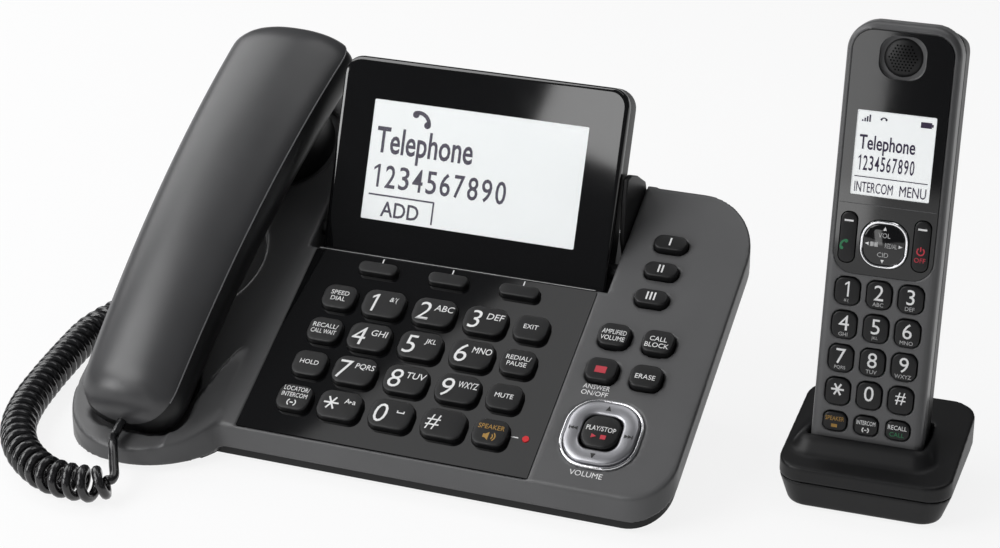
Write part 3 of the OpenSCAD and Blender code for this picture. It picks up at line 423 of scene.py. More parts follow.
def cord_line():
    """Middle line of the cord, curls included, in millimetres in the row frame."""
    top = [place([(PLUG_X, PLUG_Y - d, PLUG_Z)], HANDSET)[0] / MM for d in (0, 4, 8)]
    tail = [CORD_END - (d, 0, 0) for d in (8, 4, 0)]
    p = np.array([*top, *CORD_MID, *tail], float)
    p = np.vstack([2 * p[0] - p[1], p, 2 * p[-1] - p[-2]])
    line = []
    for k in range(1, len(p) - 2):
        a, b, c, d = p[k - 1 : k + 3]
        for t in np.arange(SPAN_POINTS) / SPAN_POINTS:
            at = 2 * b + (c - a) * t + (2 * a - 5 * b + 4 * c - d) * t**2
            line.append(0.5 * (at + (3 * b - a - 3 * c + d) * t**3))
    line = np.array([*line, p[-2]])
    run = np.r_[0, np.cumsum(np.linalg.norm(np.diff(line, axis=0), axis=1))]
    end = run[-1]

    def along(s):
        return np.stack([np.interp(s, run, line[:, k]) for k in range(3)], -1)

    def ease(x):
        return np.clip(x, 0, 1) ** 2 * (3 - 2 * np.clip(x, 0, 1))

    curls = math.floor((end - COIL_TAIL - COIL_FROM) / CURL_PITCH)
    coil_end = COIL_FROM + curls * CURL_PITCH
    s = np.r_[
        np.linspace(0, COIL_FROM, LEAD_POINTS, endpoint=False),
        np.linspace(COIL_FROM, coil_end, CURL_POINTS * curls, endpoint=False),
        np.linspace(coil_end, end, TAIL_POINTS),
    ]
    curl = CURL_R * ease((s - COIL_FROM) / COIL_RAMP) * ease((coil_end - s) / COIL_RAMP)
    ahead = along(np.minimum(end, s + 1)) - along(np.maximum(0, s - 1))
    ahead /= np.linalg.norm(ahead, axis=1, keepdims=True)
    side = np.cross(ahead, [0, 0, 1])
    side /= np.linalg.norm(side, axis=1, keepdims=True)
    up = np.cross(side, ahead)
    a = 2 * math.pi * (s - COIL_FROM) / CURL_PITCH
    return along(s) + curl[:, None] * (np.cos(a)[:, None] * up + np.sin(a)[:, None] * side)


def tube(line, radius, sides=10):
    """Rings of a round tube along a line, without twist."""
    ahead = np.gradient(line, axis=0)
    ahead /= np.linalg.norm(ahead, axis=1, keepdims=True)
    side = np.cross(ahead[0], [0, 0, 1])
    turns = np.arange(sides) * 2 * math.pi / sides
    rings = []
    for p, d in zip(line, ahead):
        side = side - d * (side @ d)
        side /= np.linalg.norm(side)
        other = np.cross(d, side)
        rings.append([p + radius * (math.cos(t) * side + math.sin(t) * other) for t in turns])
    return rings


def make_cord():
    line = cord_line()
    points, faces = loft(tube(line, CORD_R))
    mesh = bpy.data.meshes.new("curly_cord")
    mesh.from_pydata((np.array(points) * MM).tolist(), [], faces)
    mesh.materials.append(CORD)
    mesh.polygons.foreach_set("use_smooth", np.ones(len(mesh.polygons), bool))
    ob = in_scene("curly_cord", mesh)
    path = line * MM
    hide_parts("coil_cord")
    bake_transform(ob)
    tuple(path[0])


make_cord()


# Corded handset

H_LEN, H_Y0, H_WALL, H_THICK, H_ARCH = 175, -22, 2.2, 28, 8
H_WIDTH, H_MIDDLE = (20, 26), (7, 19)
H_ROUND, H_POW = (14, 16), 2.15
END_LEAST, END_TAPER, NOSE_POW, REAR_POW = 0.06, 0.75, 2.6, 2.5
SEAM, SEAM_SUNK, SEAM_R, INNER_SUNK = 27, 0.15, 0.3, 0.7
RECESS_D, DOT_R, DOT_TURN = 3, 0.6, 2.39996
# Sound holes: middle, spread, count, depth of the dish there and how it falls off
DOTS = [((0, EAR_Y), 9, 19, 1.0, 0.0015), ((0, 9), 2.4, 5, 0.62, 0)]


def nose(along):
    """Share of the full section near the lower end of the handset, which is blunt."""
    return (1 - (1 - np.clip(along / H_ROUND[0], 0, 1)) ** NOSE_POW) ** (1 / NOSE_POW)


def section(t, end, grow):
    """Half width, half thickness and middle height of the handset at a share of its length, grown all round."""
    end = np.maximum(END_LEAST, end)
    half_w = (H_WIDTH[0] + (H_WIDTH[1] - H_WIDTH[0]) * t + grow) * end**END_TAPER
    middle = H_MIDDLE[0] + (H_MIDDLE[1] - H_MIDDLE[0]) * t + 4 * H_ARCH * t * (1 - t)
    return half_w, (H_THICK / 2 + grow) * end, middle


def handset_point(t, angle, inset):
    """Point of the handset's skin at a share of its length and an angle round it, drawn in by an inset."""
    length = H_LEN - 2 * inset
    y = t * length
    rear = math.sqrt(max(0, 1 - (1 - min(1, (length - y) / H_ROUND[1])) ** REAR_POW))
    half_w, half_t, middle = section(t, min(nose(y), rear), -inset)
    a = math.radians(angle)
    across, up = (math.copysign(abs(v) ** (2 / H_POW), v) for v in (math.cos(a), math.sin(a)))
    return half_w * across, H_Y0 + inset + y, middle + half_t * up


def handset_half(first, last, sunk, rings=61, arc=37):
    """Half of the hollow handset: a C section carried from end to end, with its skin sunk a little."""
    share = [(1 - math.cos(math.pi * k / (rings - 1))) / 2 for k in range(rings)]
    angle = [first + (last - first) * j / (arc - 1) for j in range(arc)]
    around = [(a, sunk) for a in angle] + [(a, H_WALL) for a in reversed(angle)]
    return loft([[handset_point(t, a, inset) for a, inset in around] for t in share])


def boss(at, radius, top, edge=1.2):
    """A round boss with a softened lower rim, a shallow dish below and a closed top."""
    def ring(r, z):
        return level(circle(*at, r, 48), z)

    dish = ((0.04, 1.0), (0.4, 0.85), (0.75, 0.45), (0.88, 0.1))
    rings = [ring(radius * share, -RECESS_D + up) for share, up in dish]
    for a in np.radians((0, 30, 60, 90)):
        rings.append(ring(radius - edge * (1 - math.sin(a)), -RECESS_D + edge * (1 - math.cos(a))))
    return loft(rings + [ring(radius, top), ring(radius * 0.5, top + 0.5)])


def make_handset():
    # The outer skin takes the darker copy of the satin grey, which is painted shade.
    outer = piece("handset_outer_skin", *handset_half(SEAM, 180 - SEAM, 0), HANDSET, SHADED_SATIN_SHELL, "corded_handset",
                  ["handset_outer_shell"], "satin_grey")
    shape = Shape()
    shape.add(*handset_half(180 - SEAM, 360 + SEAM, INNER_SUNK))
    shape.add(*boss((0, EAR_Y), 20, 14))
    shape.add(*boss((0, 0), 15, 3))
    # Each sound hole is a short dark plug: painted shade where the hole is.
    for at, spread, count, dish, fall in DOTS:
        for k in range(count):
            far, a = spread * math.sqrt(k / count), k * DOT_TURN
            dot = circle(*polar(*at, far, a), DOT_R, 10)
            depth = -RECESS_D + dish - fall * far**2
            shape.add(*loft([level(dot, depth - 0.08), level(dot, depth + 0.4)]), mark=1)
    inner = shape.make("handset_inner_skin", HANDSET, [MATT, DARK_PRINT_AND_HOLE_SHADE], "corded_handset", ["handset_inner_shell"],
                       "black_case")
    # A thin bead along the parting line on each side; its light grey is a painted highlight of the shell's edge.
    shape = Shape()
    for angle in (SEAM, 180 - SEAM):
        line = np.array([handset_point(t, angle, SEAM_SUNK) for t in np.linspace(0.04, 0.97, 90)])
        shape.add(*loft(tube(line, SEAM_R, 8)))
    shape.make("handset_seam_bead_highlight", HANDSET, SEAM_HIGHLIGHT, "corded_handset", slot="satin_grey")
    for ob in (outer, inner):
        soften(ob, 0.3, limit_method="ANGLE", angle_limit=math.radians(60))


make_handset()


# Keys and their legends


def text(words, x, y, height, width=None, most=None, align=0.5, shear=0.0, weight=0.0):
    """Flat letters of a height, fitted to a width or at most so wide. align is the share of them left of x."""
    curve = bpy.data.curves.new("words", "FONT")
    curve.body, curve.shear, curve.offset, curve.resolution_u = words, shear, weight, 3
    ob = in_scene("words", curve)
    mesh = bpy.data.meshes.new_from_object(ob.evaluated_get(bpy.context.evaluated_depsgraph_get()))
    p = np.array([v.co[:2] for v in mesh.vertices])
    faces = [tuple(f.vertices) for f in mesh.polygons]
    bpy.data.objects.remove(ob)
    bpy.data.curves.remove(curve)
    bpy.data.meshes.remove(mesh)
    low, high = p.min(0), p.max(0)
    scale_y = height / (high[1] - low[1])
    scale_x = width / (high[0] - low[0]) if width else scale_y
    if most:
        scale_x = min(scale_x, most / (high[0] - low[0]))
    return np.c_[x + (p[:, 0] - low[0] - align * (high[0] - low[0])) * scale_x,
                 y + (p[:, 1] - (low[1] + high[1]) / 2) * scale_y], faces


ONE = [(0.13, -0.5), (0.13, 0.5), (0.045, 0.5), (-0.16, 0.345), (-0.16, 0.225), (0.02, 0.36), (0.02, -0.5)]
ONE_W, ONE_SHARE = 0.29, 0.6


def digits(words, x, y, height, width=None, shear=0.0, weight=0.0):
    """One digit. The digit 1 has a flag, which the built-in letters lack."""
    if words == "1":
        across = ONE_SHARE * width / ONE_W if width else height
        return polygon([(x + px * across + shear * py * height, y + py * height) for px, py in ONE])
    return text(words, x, y, height, width, shear=shear, weight=weight)


def polygon(points):
    return np.array(points, float), [tuple(range(len(points)))]


def bar(x, y, w, h):
    return polygon([(x - w / 2, y - h / 2), (x + w / 2, y - h / 2), (x + w / 2, y + h / 2), (x - w / 2, y + h / 2)])


def arrow(x, y, size, angle):
    return polygon([polar(x, y, size, math.radians(angle + a)) for a in (0, 130, 230)])


def band(x, y, radius, width, start, end, steps=12):
    """Part of a ring, as one strip."""
    a = np.radians(np.linspace(start, end, steps))
    inner, outer = radius - width / 2, radius + width / 2
    p = [polar(x, y, outer, t) for t in a] + [polar(x, y, inner, t) for t in a[::-1]]
    n = len(a)
    return np.array(p), [(k, k + 1, 2 * n - 2 - k, 2 * n - 1 - k) for k in range(n - 1)]


def receiver_icon(x, y, size, angle):
    """The usual small picture of a telephone receiver: a bow with two pads."""
    parts = [band(x, y, size, size * 0.32, angle + 35, angle + 145)]
    for a in (angle + 38, angle + 142):
        parts.append(polygon(circle(*polar(x, y, size * 0.86, math.radians(a)), size * 0.3, 10)))
    return parts


PRINT_LIFT, PRINT_T = 0.09, 0.12


class Print:
    """Printed marks on one body: thin closed flakes that lie on the surface."""

    def __init__(self, name, body, to=BASE):
        self.name, self.body, self.to, self.shape, self.materials = name, body, to, Shape(), []
        self.on((0, 0), 0)

    def on(self, at, height):
        """Later marks are drawn from this point. height is a number, or gives the surface under a point."""
        self.at, self.height = at, height

    def on_key(self, size, at, top, edge, dome):
        """Later marks are drawn on the crowned top of a key."""
        def height(x, y):
            far = max(abs(x - at[0]) / (size[0] / 2 - edge), abs(y - at[1]) / (size[1] / 2 - edge))
            return top + dome * (1 - min(1, far) ** 2)

        self.on(at, height)

    def add(self, flat, material):
        """A flat mark as points and faces, or a list of such marks."""
        if isinstance(flat, list):
            for f in flat:
                self.add(f, material)
            return
        p, faces = flat[0] + self.at, flat[1]
        z = [self.height(x, y) if callable(self.height) else self.height for x, y in p]
        if material not in self.materials:
            self.materials.append(material)
        n = len(p)
        points = [(x, y, h + up) for up in (PRINT_LIFT, PRINT_LIFT - PRINT_T) for (x, y), h in zip(p, z)]
        edges = dict.fromkeys((a, b) for f in faces for a, b in zip(f, f[1:] + f[:1]))
        rim = [(a, b, b + n, a + n) for a, b in edges if (b, a) not in edges]
        under = [tuple(i + n for i in reversed(f)) for f in faces]
        self.shape.add(points, faces + under + rim, self.materials.index(material))

    def make(self):
        return self.shape.make(self.name, self.to, self.materials, self.body)


KEY_FOOT = -3.3
KEY_CAP = dict(top=2.4, edge=0.6, dome=0.12)
DIAL_SIZE, SIDE_SIZE = (15.9, 11.7, 4), (12.6, 10.5, 3.6)
SOFT_SIZE, TOUCH_SIZE, MESSAGE_SIZE = (15, 5, 2.2), (12.2, 6.5, 3.1), (11, 9.4, 3.2)
DIAL_PITCH, ROW_PITCH, ROW_FOOT, SIDE_U = 19.5, 15, 15, 36.8
SOFT_PITCH, SOFT_V, WING_U = 27.3, 75, 74.5
TOUCH_V, TOUCH_PITCH, MESSAGE_V, MESSAGE_PITCH = 81.3, 12.3, 48, (16, 15)
DIAL = [("1", "&'("), ("2", "ABC"), ("3", "DEF"), ("4", "GHI"), ("5", "JKL"), ("6", "MNO"), ("7", "PQRS"),
        ("8", "TUV"), ("9", "WXYZ"), ("*", ""), ("0", ""), ("#", "")]
NODE_OF = {"*": "star", "#": "hash"}
NAV_AT, NAV_W, NAV_R, NAV_PRINT_Z = (74, 23), 25.6, 9.98, 1.78
NAV_RING = [(0, KEY_FOOT), (0, 1.1), (0.2, 1.5), (0.6, 1.7), (2.6, 1.8), (4.6, 1.7), (5.25, 1.5), (5.55, 1.1),
            (5.6, KEY_FOOT)]
NAV_RIM = [(0, -0.9), (0, 0.3), (0.2, 0.65), (0.6, 0.8), (1.0, 0.65), (1.18, 0.3), (1.18, -0.9)]
PLAY_SIZE, PLAY_FOOT = (13.2, 13.2, 5.15), -3.4
PLAY_CAP = dict(top=2.2, edge=0.9, dome=0.4)
# Middles of the keys on the slab
DIAL_AT = [((i % 3 - 1) * DIAL_PITCH, ROW_FOOT + (3 - i // 3) * ROW_PITCH) for i in range(12)]
SIDE_AT = {side: [(side * SIDE_U, ROW_FOOT + i * ROW_PITCH) for i in range(4)] for side in (-1, 1)}
SOFT_AT = [((i - 1) * SOFT_PITCH, SOFT_V) for i in range(3)]
TOUCH_AT = [(WING_U, TOUCH_V + i * TOUCH_PITCH) for i in range(3)]
MESSAGE_AT = [(WING_U + (i % 2 - 0.5) * MESSAGE_PITCH[0], MESSAGE_V + (i // 2) * MESSAGE_PITCH[1]) for i in range(4)]


def keys(node, size, places, to=BASE, foot=KEY_FOOT, cap=KEY_CAP):
    """One piece for all keys of a node."""
    shape = Shape()
    for at in places:
        shape.add(*key_cap(size, at, foot, **cap))
    shape.make(node + "_cap", to, KEY, node, [node], "key_black")


def star(x, y, size, half=0.32):
    """Three crossed bars."""
    bars = []
    for c, s in ((math.cos(a), math.sin(a)) for a in np.radians((0, 60, 120))):
        ends = ((size, -half), (size, half), (-size, half), (-size, -half))
        bars.append(polygon([(x + far * c + off * s, y + far * s - off * c) for far, off in ends]))
    return bars


def printed_keys(node, size, places, legends, to=BASE, foot=KEY_FOOT, cap=KEY_CAP, name=None):
    """The keys of a node and what is printed on them: for each key a list of (marks, material)."""
    keys(node, size, places, to, foot, cap)
    marks = Print(name or node + "_print", node, to)
    for at, legend in zip(places, legends):
        marks.on_key(size, at, **cap)
        for flat, material in legend:
            marks.add(flat, material)
    marks.make()


def make_dial_keys():
    for at, (digit, letters) in zip(DIAL_AT, DIAL):
        if digit == "*":
            signs = [star(-3.0, 0.2, 2.8), text("A a", 3.7, 1.8, 2.1, most=5.4), arrow(3.9, 1.6, 0.6, 0)]
        else:
            signs = [digits(digit, -3.6, -0.2, 6.0 if digit == "#" else 7.6, shear=0.08, weight=-0.006)]
        if letters:
            signs.append(text(letters, 3.6, 1.7, 2.6, shear=0.1, most=7.2))
        if digit == "0":
            signs += [bar(3.4, 0.9, 2.8, 0.4), bar(2.2, 1.3, 0.4, 0.8), bar(4.6, 1.3, 0.4, 0.8)]
        printed_keys("dial_key_" + NODE_OF.get(digit, digit), DIAL_SIZE, [at], [[(signs, WHITE)]])


SIDE_WORDS = {
    -1: [["LOCATOR/", "INTERCOM"], ["HOLD"], ["RECALL/", "CALL WAIT"], ["SPEED", "DIAL"]],
    1: [["SPEAKER"], ["MUTE"], ["REDIAL/", "PAUSE"], ["EXIT"]],
}
SIDE_NODES = {-1: "left_function_keys", 1: "right_function_keys"}
MESSAGE_WORDS = [["ERASE"], ["AMPLIFIED", "VOLUME"], ["CALL", "BLOCK"]]


def words_on(lines, height, pitch=1.4, y=0.2, most=9.6):
    """Lines of words, one under the other."""
    middle = (len(lines) - 1) / 2
    return [text(line, 0, y + (middle - k) * height * pitch, height, most=most) for k, line in enumerate(lines)]


def sound_icon(x, y):
    """A small loudspeaker with two waves."""
    horn = [(-2, -0.7), (-1.2, -0.7), (0, -1.6), (0, 1.6), (-1.2, 0.7), (-2, 0.7)]
    return [polygon([(x + px, y + py) for px, py in horn]), band(x + 0.4, y, 1.1, 0.4, -50, 50, 6),
            band(x + 0.4, y, 2.0, 0.4, -50, 50, 6)]


def call_icon(x, y, size):
    """Two waves that face each other round a dot."""
    return [band(x - 0.2 * size, y, size, 0.4, 120, 240, 8), band(x + 0.2 * size, y, size, 0.4, -60, 60, 8),
            bar(x, y, 0.9 * size, 0.35 * size)]


def make_function_keys():
    icons = {-1: (call_icon(0, -2.6, 1.3), WHITE), 1: (sound_icon(0, -1.9), AMBER)}
    for side, node in SIDE_NODES.items():
        icon, tone = icons[side]
        first, *others = SIDE_WORDS[side]
        legends = [[(words_on(first, 1.85, y=1.9) + icon, tone)]]
        legends += [[(words_on(lines, 1.85), WHITE)] for lines in others]
        printed_keys(node, SIDE_SIZE, SIDE_AT[side], legends)
    keys("soft_keys", SOFT_SIZE, SOFT_AT)
    keys("one_touch_keys", TOUCH_SIZE, TOUCH_AT)
    marks = Print("one_touch_keys_print", "one_touch_keys")
    for i, at in enumerate(TOUCH_AT):
        marks.on(at, KEY_CAP["top"] + KEY_CAP["dome"])
        marks.add([bar((k - (2 - i) / 2) * 1.35, 0.1, 0.6, 3.3) for k in range(3 - i)], WHITE)
    marks.make()
    legends = [[(bar(0, -0.5, 4.0, 2.7), RED)]]
    legends += [[(words_on(lines, 1.9, y=-0.5, most=8.8), WHITE)] for lines in MESSAGE_WORDS]
    printed_keys("message_keys", MESSAGE_SIZE, MESSAGE_AT, legends)


def make_navigator():
    piece("navigator_ring", *square_hoop(NAV_W - 0.6, NAV_R - 0.3, NAV_AT, NAV_RING), BASE, SILVER, "navigator_key",
          ["navigator_key"], sharp=50)
    marks = Print("navigator_print", "navigator_key")
    marks.on(NAV_AT, NAV_PRINT_Z)
    marks.add([arrow(0, 9.6, 1.2, 90), arrow(0, -9.6, 1.2, 270)], DARK_PRINT_AND_HOLE_SHADE)
    for s in (-1, 1):
        marks.add([arrow(s * x, 0, 0.9, 90 - 90 * s) for x in (8.9, 10.2)], DARK_PRINT_AND_HOLE_SHADE)
        marks.add(bar(s * 11.2, 0, 0.3, 1.5), DARK_PRINT_AND_HOLE_SHADE)
    marks.make()
    signs = [arrow(-1.9, -2.4, 1.1, 0), bar(1.6, -2.4, 1.9, 1.6)]
    legend = [(text("PLAY/STOP", 0, 0.8, 1.9, most=10.4), WHITE), (signs, RED)]
    printed_keys("play_stop_key", PLAY_SIZE, [NAV_AT], [legend], BASE, PLAY_FOOT, PLAY_CAP, "play_stop_print")
    piece("navigator_rim", *square_hoop(NAV_W + 2.36, NAV_R + 1.2, NAV_AT, NAV_RIM), BASE, CHROME, "base_unit",
          ["navigator_trim"], "chrome_trim", sharp=60)


make_dial_keys()
make_function_keys()
make_navigator()


# Base unit

RIGHT_U, REAR_Y, FRONT_R, REAR_R = 103, 115.45, 15, 24
RIM_T, CASE_FOOT = 8, 2.5
WELL_SIDE, WELL_DEEP, WELL_WALL = 57.8, 17.536, 4
PANEL_W, PANEL_D, PANEL_MID = 109, 82, (0, 41)
PANEL_SEAT, PANEL_HOLE, PANEL_SUNK = (PANEL_W, 80.4, 0.3), (104, 76, 1), 1.2
NAV_SEAT, NAV_SUNK = (NAV_W + 2.4, NAV_W + 2.4, NAV_R + 1.2), 1
# Roundings of edges and inner corners
CASE_EDGE, CASE_FILLET, DISH_EDGE, SCOOP_EDGE, SCOOP_CORNER = 1.0, 0.8, 0.9, 1.4, 6
CASE_WALL, CASE_TOP, LOBE_BACK = 2, 4.8, 4.15
MOUTH_R, EAR_R, SCOOP_AT, SCOOP_R, SCOOP_SIDE = 16.2, 23, (-101.6, 70.4), 28.6, -108
HOOK_HOLE, HOOK_DEEP = (8.9, 12.9, 2.3), 9
TOUCH_HOLE, MESSAGE_HOLE = (12.8, 7.1, 3.4), (11.6, 10.0, 3.5)
RAMP, LOBE_H = math.radians(16.5), 8.5


def base_plan(x, y):
    """Distance to the plan outline of the base."""
    r = np.where(y < REAR_Y / 2, FRONT_R, REAR_R)
    slab = box2(x, y, RIGHT_U + CRADLE_U, REAR_Y, r, ((RIGHT_U - CRADLE_U) / 2, REAR_Y / 2))
    arm = np.hypot(x + CRADLE_U, y - np.clip(y, LOBE_Y, ARM_Y)) - CRADLE_R
    return either(slab, arm, 3)


RIDGE_V = [-9, -2.8, 6, 14.8, 25, 33]
RIDGE_U = [-74.5, -72, -69.7, -68, -66.2, -65]
RIDGE_FOOT, RIDGE_H, RIDGE_END, RIDGE_FADE, RIDGE_STEEP, RIDGE_SHARE = -62.2, 5, 33.5, 10, 1.2, 0.85
CRADLE_GAP = 1
EAR_AT = (-CRADLE_U + EAR_Y * YAW_SIN, LOBE_V + EAR_Y * YAW_COS)


def ridge_height(u, v):
    """Height of the ridge between the cradle and the key panel: gentle towards the panel, steep towards the cradle."""
    crest = np.interp(v, RIDGE_V, RIDGE_U)
    high = RIDGE_H * (1 - np.exp(-np.maximum(0, RIDGE_END - v) / RIDGE_FADE))
    gentle = high * np.clip((RIDGE_FOOT - u) / (RIDGE_FOOT - crest), 0, 1)
    return np.maximum(0, np.minimum(gentle, high - RIDGE_STEEP * np.maximum(0, crest - u)))


def over_handset(u, v, w):
    """Distance to the room that the corded handset takes up, from its skin upwards."""
    px, py = u + CRADLE_U, v - LOBE_V
    x, y = YAW_COS * px - YAW_SIN * py, YAW_SIN * px + YAW_COS * py
    along, length = y - H_Y0 + CRADLE_GAP, H_LEN + 2 * CRADLE_GAP
    t = np.clip(along / length, 0, 1)
    half_w, half_t, middle = section(t, nose(along), CRADLE_GAP)
    far = ((np.abs(x) / half_w) ** H_POW + (np.maximum(0, middle - w) / half_t) ** H_POW) ** (1 / H_POW)
    return np.maximum((far - 1) * (half_w + half_t) / 2, -along)


def base_upper(u, v, w):
    y, z = v * SLAB_COS - w * SLAB_SIN, FRONT_H + v * SLAB_SIN + w * SLAB_COS
    plan = base_plan(u, y)
    d = both(plan, (w - ridge_height(u, v)) * RIDGE_SHARE, CASE_EDGE)
    d = np.maximum(d, -RIM_T - w)
    d = np.maximum(d, -np.maximum(plan + CASE_WALL, w + CASE_TOP))
    ramp = (z - LOBE_H - (y - LOBE_Y + CRADLE_R) * math.tan(RAMP)) * math.cos(RAMP)
    lobe = both(np.hypot(u + CRADLE_U, y - LOBE_Y) - CRADLE_R, ramp, CASE_EDGE)
    d = np.maximum(either(d, np.maximum(lobe, y - LOBE_BACK), CASE_FILLET), CASE_FOOT - z)
    tray = np.maximum(np.maximum(np.abs(u) - WELL_SIDE - WELL_WALL, PANEL_D - 2 - v), -WELL_DEEP - 2 - w)
    d = np.minimum(d, np.maximum(np.maximum(tray, w), plan))
    d = both(d, -over_handset(u, v, w), CASE_FILLET)
    for at, r in (((-CRADLE_U, LOBE_V), MOUTH_R), (EAR_AT, EAR_R)):
        d = both(d, -np.maximum(np.hypot(u - at[0], v - at[1]) - r, -RECESS_D - w), DISH_EDGE)
    scoop = both(np.hypot(u - SCOOP_AT[0], v - SCOOP_AT[1]) - SCOOP_R, SCOOP_SIDE - u, SCOOP_CORNER)
    d = both(d, -np.maximum(scoop, -RECESS_D - w), SCOOP_EDGE)
    cuts = [np.maximum(box2(u, v, *HOOK_HOLE, EAR_AT), -HOOK_DEEP - w),
            np.maximum(np.maximum(np.abs(u) - WELL_SIDE, PANEL_D - v), -WELL_DEEP - w),
            np.maximum(box2(u, v, *PANEL_SEAT, PANEL_MID), -PANEL_SUNK - w), box2(u, v, *PANEL_HOLE, PANEL_MID),
            np.maximum(box2(u, v, *NAV_SEAT, NAV_AT), -NAV_SUNK - w), box2(u, v, NAV_W, NAV_W, NAV_R, NAV_AT)]
    cuts += [box2(u, v, *TOUCH_HOLE, at) for at in TOUCH_AT]
    cuts += [box2(u, v, *MESSAGE_HOLE, at) for at in MESSAGE_AT]
    return without(d, cuts)


def make_base():
    moulded("base_top", base_upper, (-121.4, -29.2, -20.4), (104.4, 166, 7.2), (0.8, 0.8, 0.6), BASE, SATIN,
            "base_unit", ["base_upper_case"], "satin_grey", keep=0.3)
    marks = Print("panel_print", "base_unit")
    marks.add([bar(x, y + 4.5, 0.45, 2.4) for x, y in SOFT_AT], WHITE)
    marks.add(bar(45, 16, 2.6, 0.4), WHITE)
    # A thin light line along the panel's rear edge: painted highlight of that edge.
    marks.add(bar(0, PANEL_D - 0.4, PANEL_W - 2, 0.2), SOFT_WHITE)
    x, y = MESSAGE_AT[0]
    marks.on((x, y - 7.9), 0)
    marks.add(words_on(["ANSWER", "ON/OFF"], 1.9, pitch=1.35), WHITE)
    marks.on((NAV_AT[0] - 0.5, 6.7), 0)
    marks.add(text("VOLUME", 0, 0, 2.1), WHITE)
    marks.make()


# Outline of the cheek: along the slab, above it
STOP = [(102, -9), (104, 2), (112, 14), (117.6, 19.6), (121.5, 17.5), (126.3, 11.6), (131.6, 2.2), (131, -3),
        (127, -9)]
STOP_SIDES = (55.8, 57.7)


def make_stop():
    """Black cheek in the well at the right of the display."""
    sides = loft([[(u, v, w) for v, w in STOP] for u in STOP_SIDES])
    soften(piece("display_stop", *sides, BASE, MATT, "base_unit", slot="black_case"), 0.5)


make_base()
make_stop()


# Display head

DISP_W, DISP_H, DISP_R, DISP_LOW_R, DISP_MID = 110, 74.5, 7, 2, 27.75
WIN_W, WIN_H, WIN_Y, WIN_R = 83, 44, 28, 0.6
SCREEN_Z = 6.8
# Sections of hoops: inset or growth, height
BEZEL_EDGE = [(0, 4.1), (0, 5.8), (0.12, 6.4), (0.5, 6.85), (1.1, 7.0), (1.7, 7.0)]
BEZEL_WINDOW = [(0.8, 7.0), (0.06, 7.0), (0, 6.94), (0, 5.6)]
BACK_Z, BACK_R = -1.5, 4.5
DIGIT_SHARE = 0.74


def lcd_lines(marks, w, h, lines):
    """Tall dark characters on a display: rows of (words, share across, share up, height, width, weight)."""
    for words, x, y, height, width, weight in lines:
        pitch = width / len(words)
        if words.isdigit():
            for k, c in enumerate(words):
                left = x * w + (k + 0.5) * pitch
                marks.add(digits(c, left, y * h, height, DIGIT_SHARE * pitch, weight=weight), INK)
        else:
            marks.add(text(words, x * w, y * h, height, width, align=0, weight=weight), INK)


def make_display():
    def edge(inset, z):
        return level(outline(DISP_W, DISP_H, DISP_R, inset, (0, DISP_MID), 8, DISP_LOW_R), z)

    def window(grow, z):
        return level(outline(WIN_W + 2 * grow, WIN_H + 2 * grow, WIN_R + grow, 0, (0, WIN_Y), 8), z)

    def part(name, shape, material, node, slot, sharp=35):
        piece(name, *shape, DISPLAY, material, "display_head", [node], slot, sharp)

    bezel = [edge(*e) for e in BEZEL_EDGE] + [window(*e) for e in BEZEL_WINDOW] + [edge(1.2, 5.0)]
    part("display_bezel", hoop(bezel), GLOSS, "display_front_frame", "gloss_black", 30)
    back = [edge(0, 3.9), edge(0, BACK_Z)]
    for a in np.radians(np.arange(15, 91, 15)):
        back.append(edge(BACK_R * (1 - math.cos(a)), BACK_Z - BACK_R * math.sin(a)))
    part("display_back", loft(back + [edge(20, -6.0)]), MATT, "display_rear_cover", "black_case", 50)
    part("display_screen", loft([window(-0.03, 4.9), window(-0.03, SCREEN_Z)]), LCD, "display_lcd", "lcd_white")
    part("display_pane", loft([window(-0.05, 6.92), window(-0.05, 6.97)]), PANE, "display_window", "clear_pane")
    marks = Print("display_print", "display_head", DISPLAY)
    marks.on((-WIN_W / 2, WIN_Y - WIN_H / 2), SCREEN_Z)
    lcd_lines(marks, WIN_W, WIN_H, [
        ("Telephone", 0.03, 0.635, 12.6, 38, 0.014), ("1234567890", 0.02, 0.37, 8.4, 54, 0.008),
        ("ADD", 0.09, 0.10, 5.6, 15, 0.012),
    ])
    marks.add(bar(WIN_W * 0.18, WIN_H * 0.21, WIN_W * 0.31, 0.6), INK)
    marks.add(bar(WIN_W * 0.335, WIN_H * 0.12, 0.6, WIN_H * 0.19), INK)
    marks.add(receiver_icon(WIN_W * 0.215, WIN_H * 0.83, 4.4, -35), INK)
    marks.make()


make_display()


# Cordless handset

C_LEN, C_W = 154.5, 38
C_FRONT, C_BACK, C_SPLIT, C_TOP_SLOPE = 10, -12, 1, 22
C_KEY, C_LOW_KEY, C_LONG_KEY = (8.3, 9.3, 2.8), (8, 6.6, 2.4), (5.4, 17.2, 2.4)
C_KEY_HOLE, C_LOW_HOLE, C_LONG_HOLE = (8.9, 9.9, 3.1), (8.6, 7.2, 2.7), (6, 17.8, 2.7)
C_PITCH, C_ROW, C_ROW_Y, C_LOW_Y = 10.7, 11.7, 52, 18
C_FOOT, C_CAP, C_LONG_CAP = 7.2, dict(top=10.7, edge=0.5, dome=0.15), dict(top=10.6, edge=0.5, dome=0.15)
C_NAV, C_NAV_AT = 16, (0, 81.1)
C_NAV_KEY, C_NAV_CAP = (C_NAV - 2, C_NAV - 2, 5.5), dict(top=10.9, edge=0.7, dome=0.35)
C_NAV_RIM = [(0, C_FOOT), (0, 10.5), (0.2, 10.75), (0.5, 10.8), (0.85, 10.7), (1.0, 10.4), (1.0, C_FOOT)]
C_TALK_AT, C_OFF_AT = (-12.3, 82.1), (12.3, 82.1)
C_LCD, C_LCD_Y, C_LCD_Z = (26.4, 28.6), 96.7, 9.7
C_EAR_Y, C_PANEL_Y, C_PANEL_HIGH = 143.5, 69.9, C_LEN - 2.5
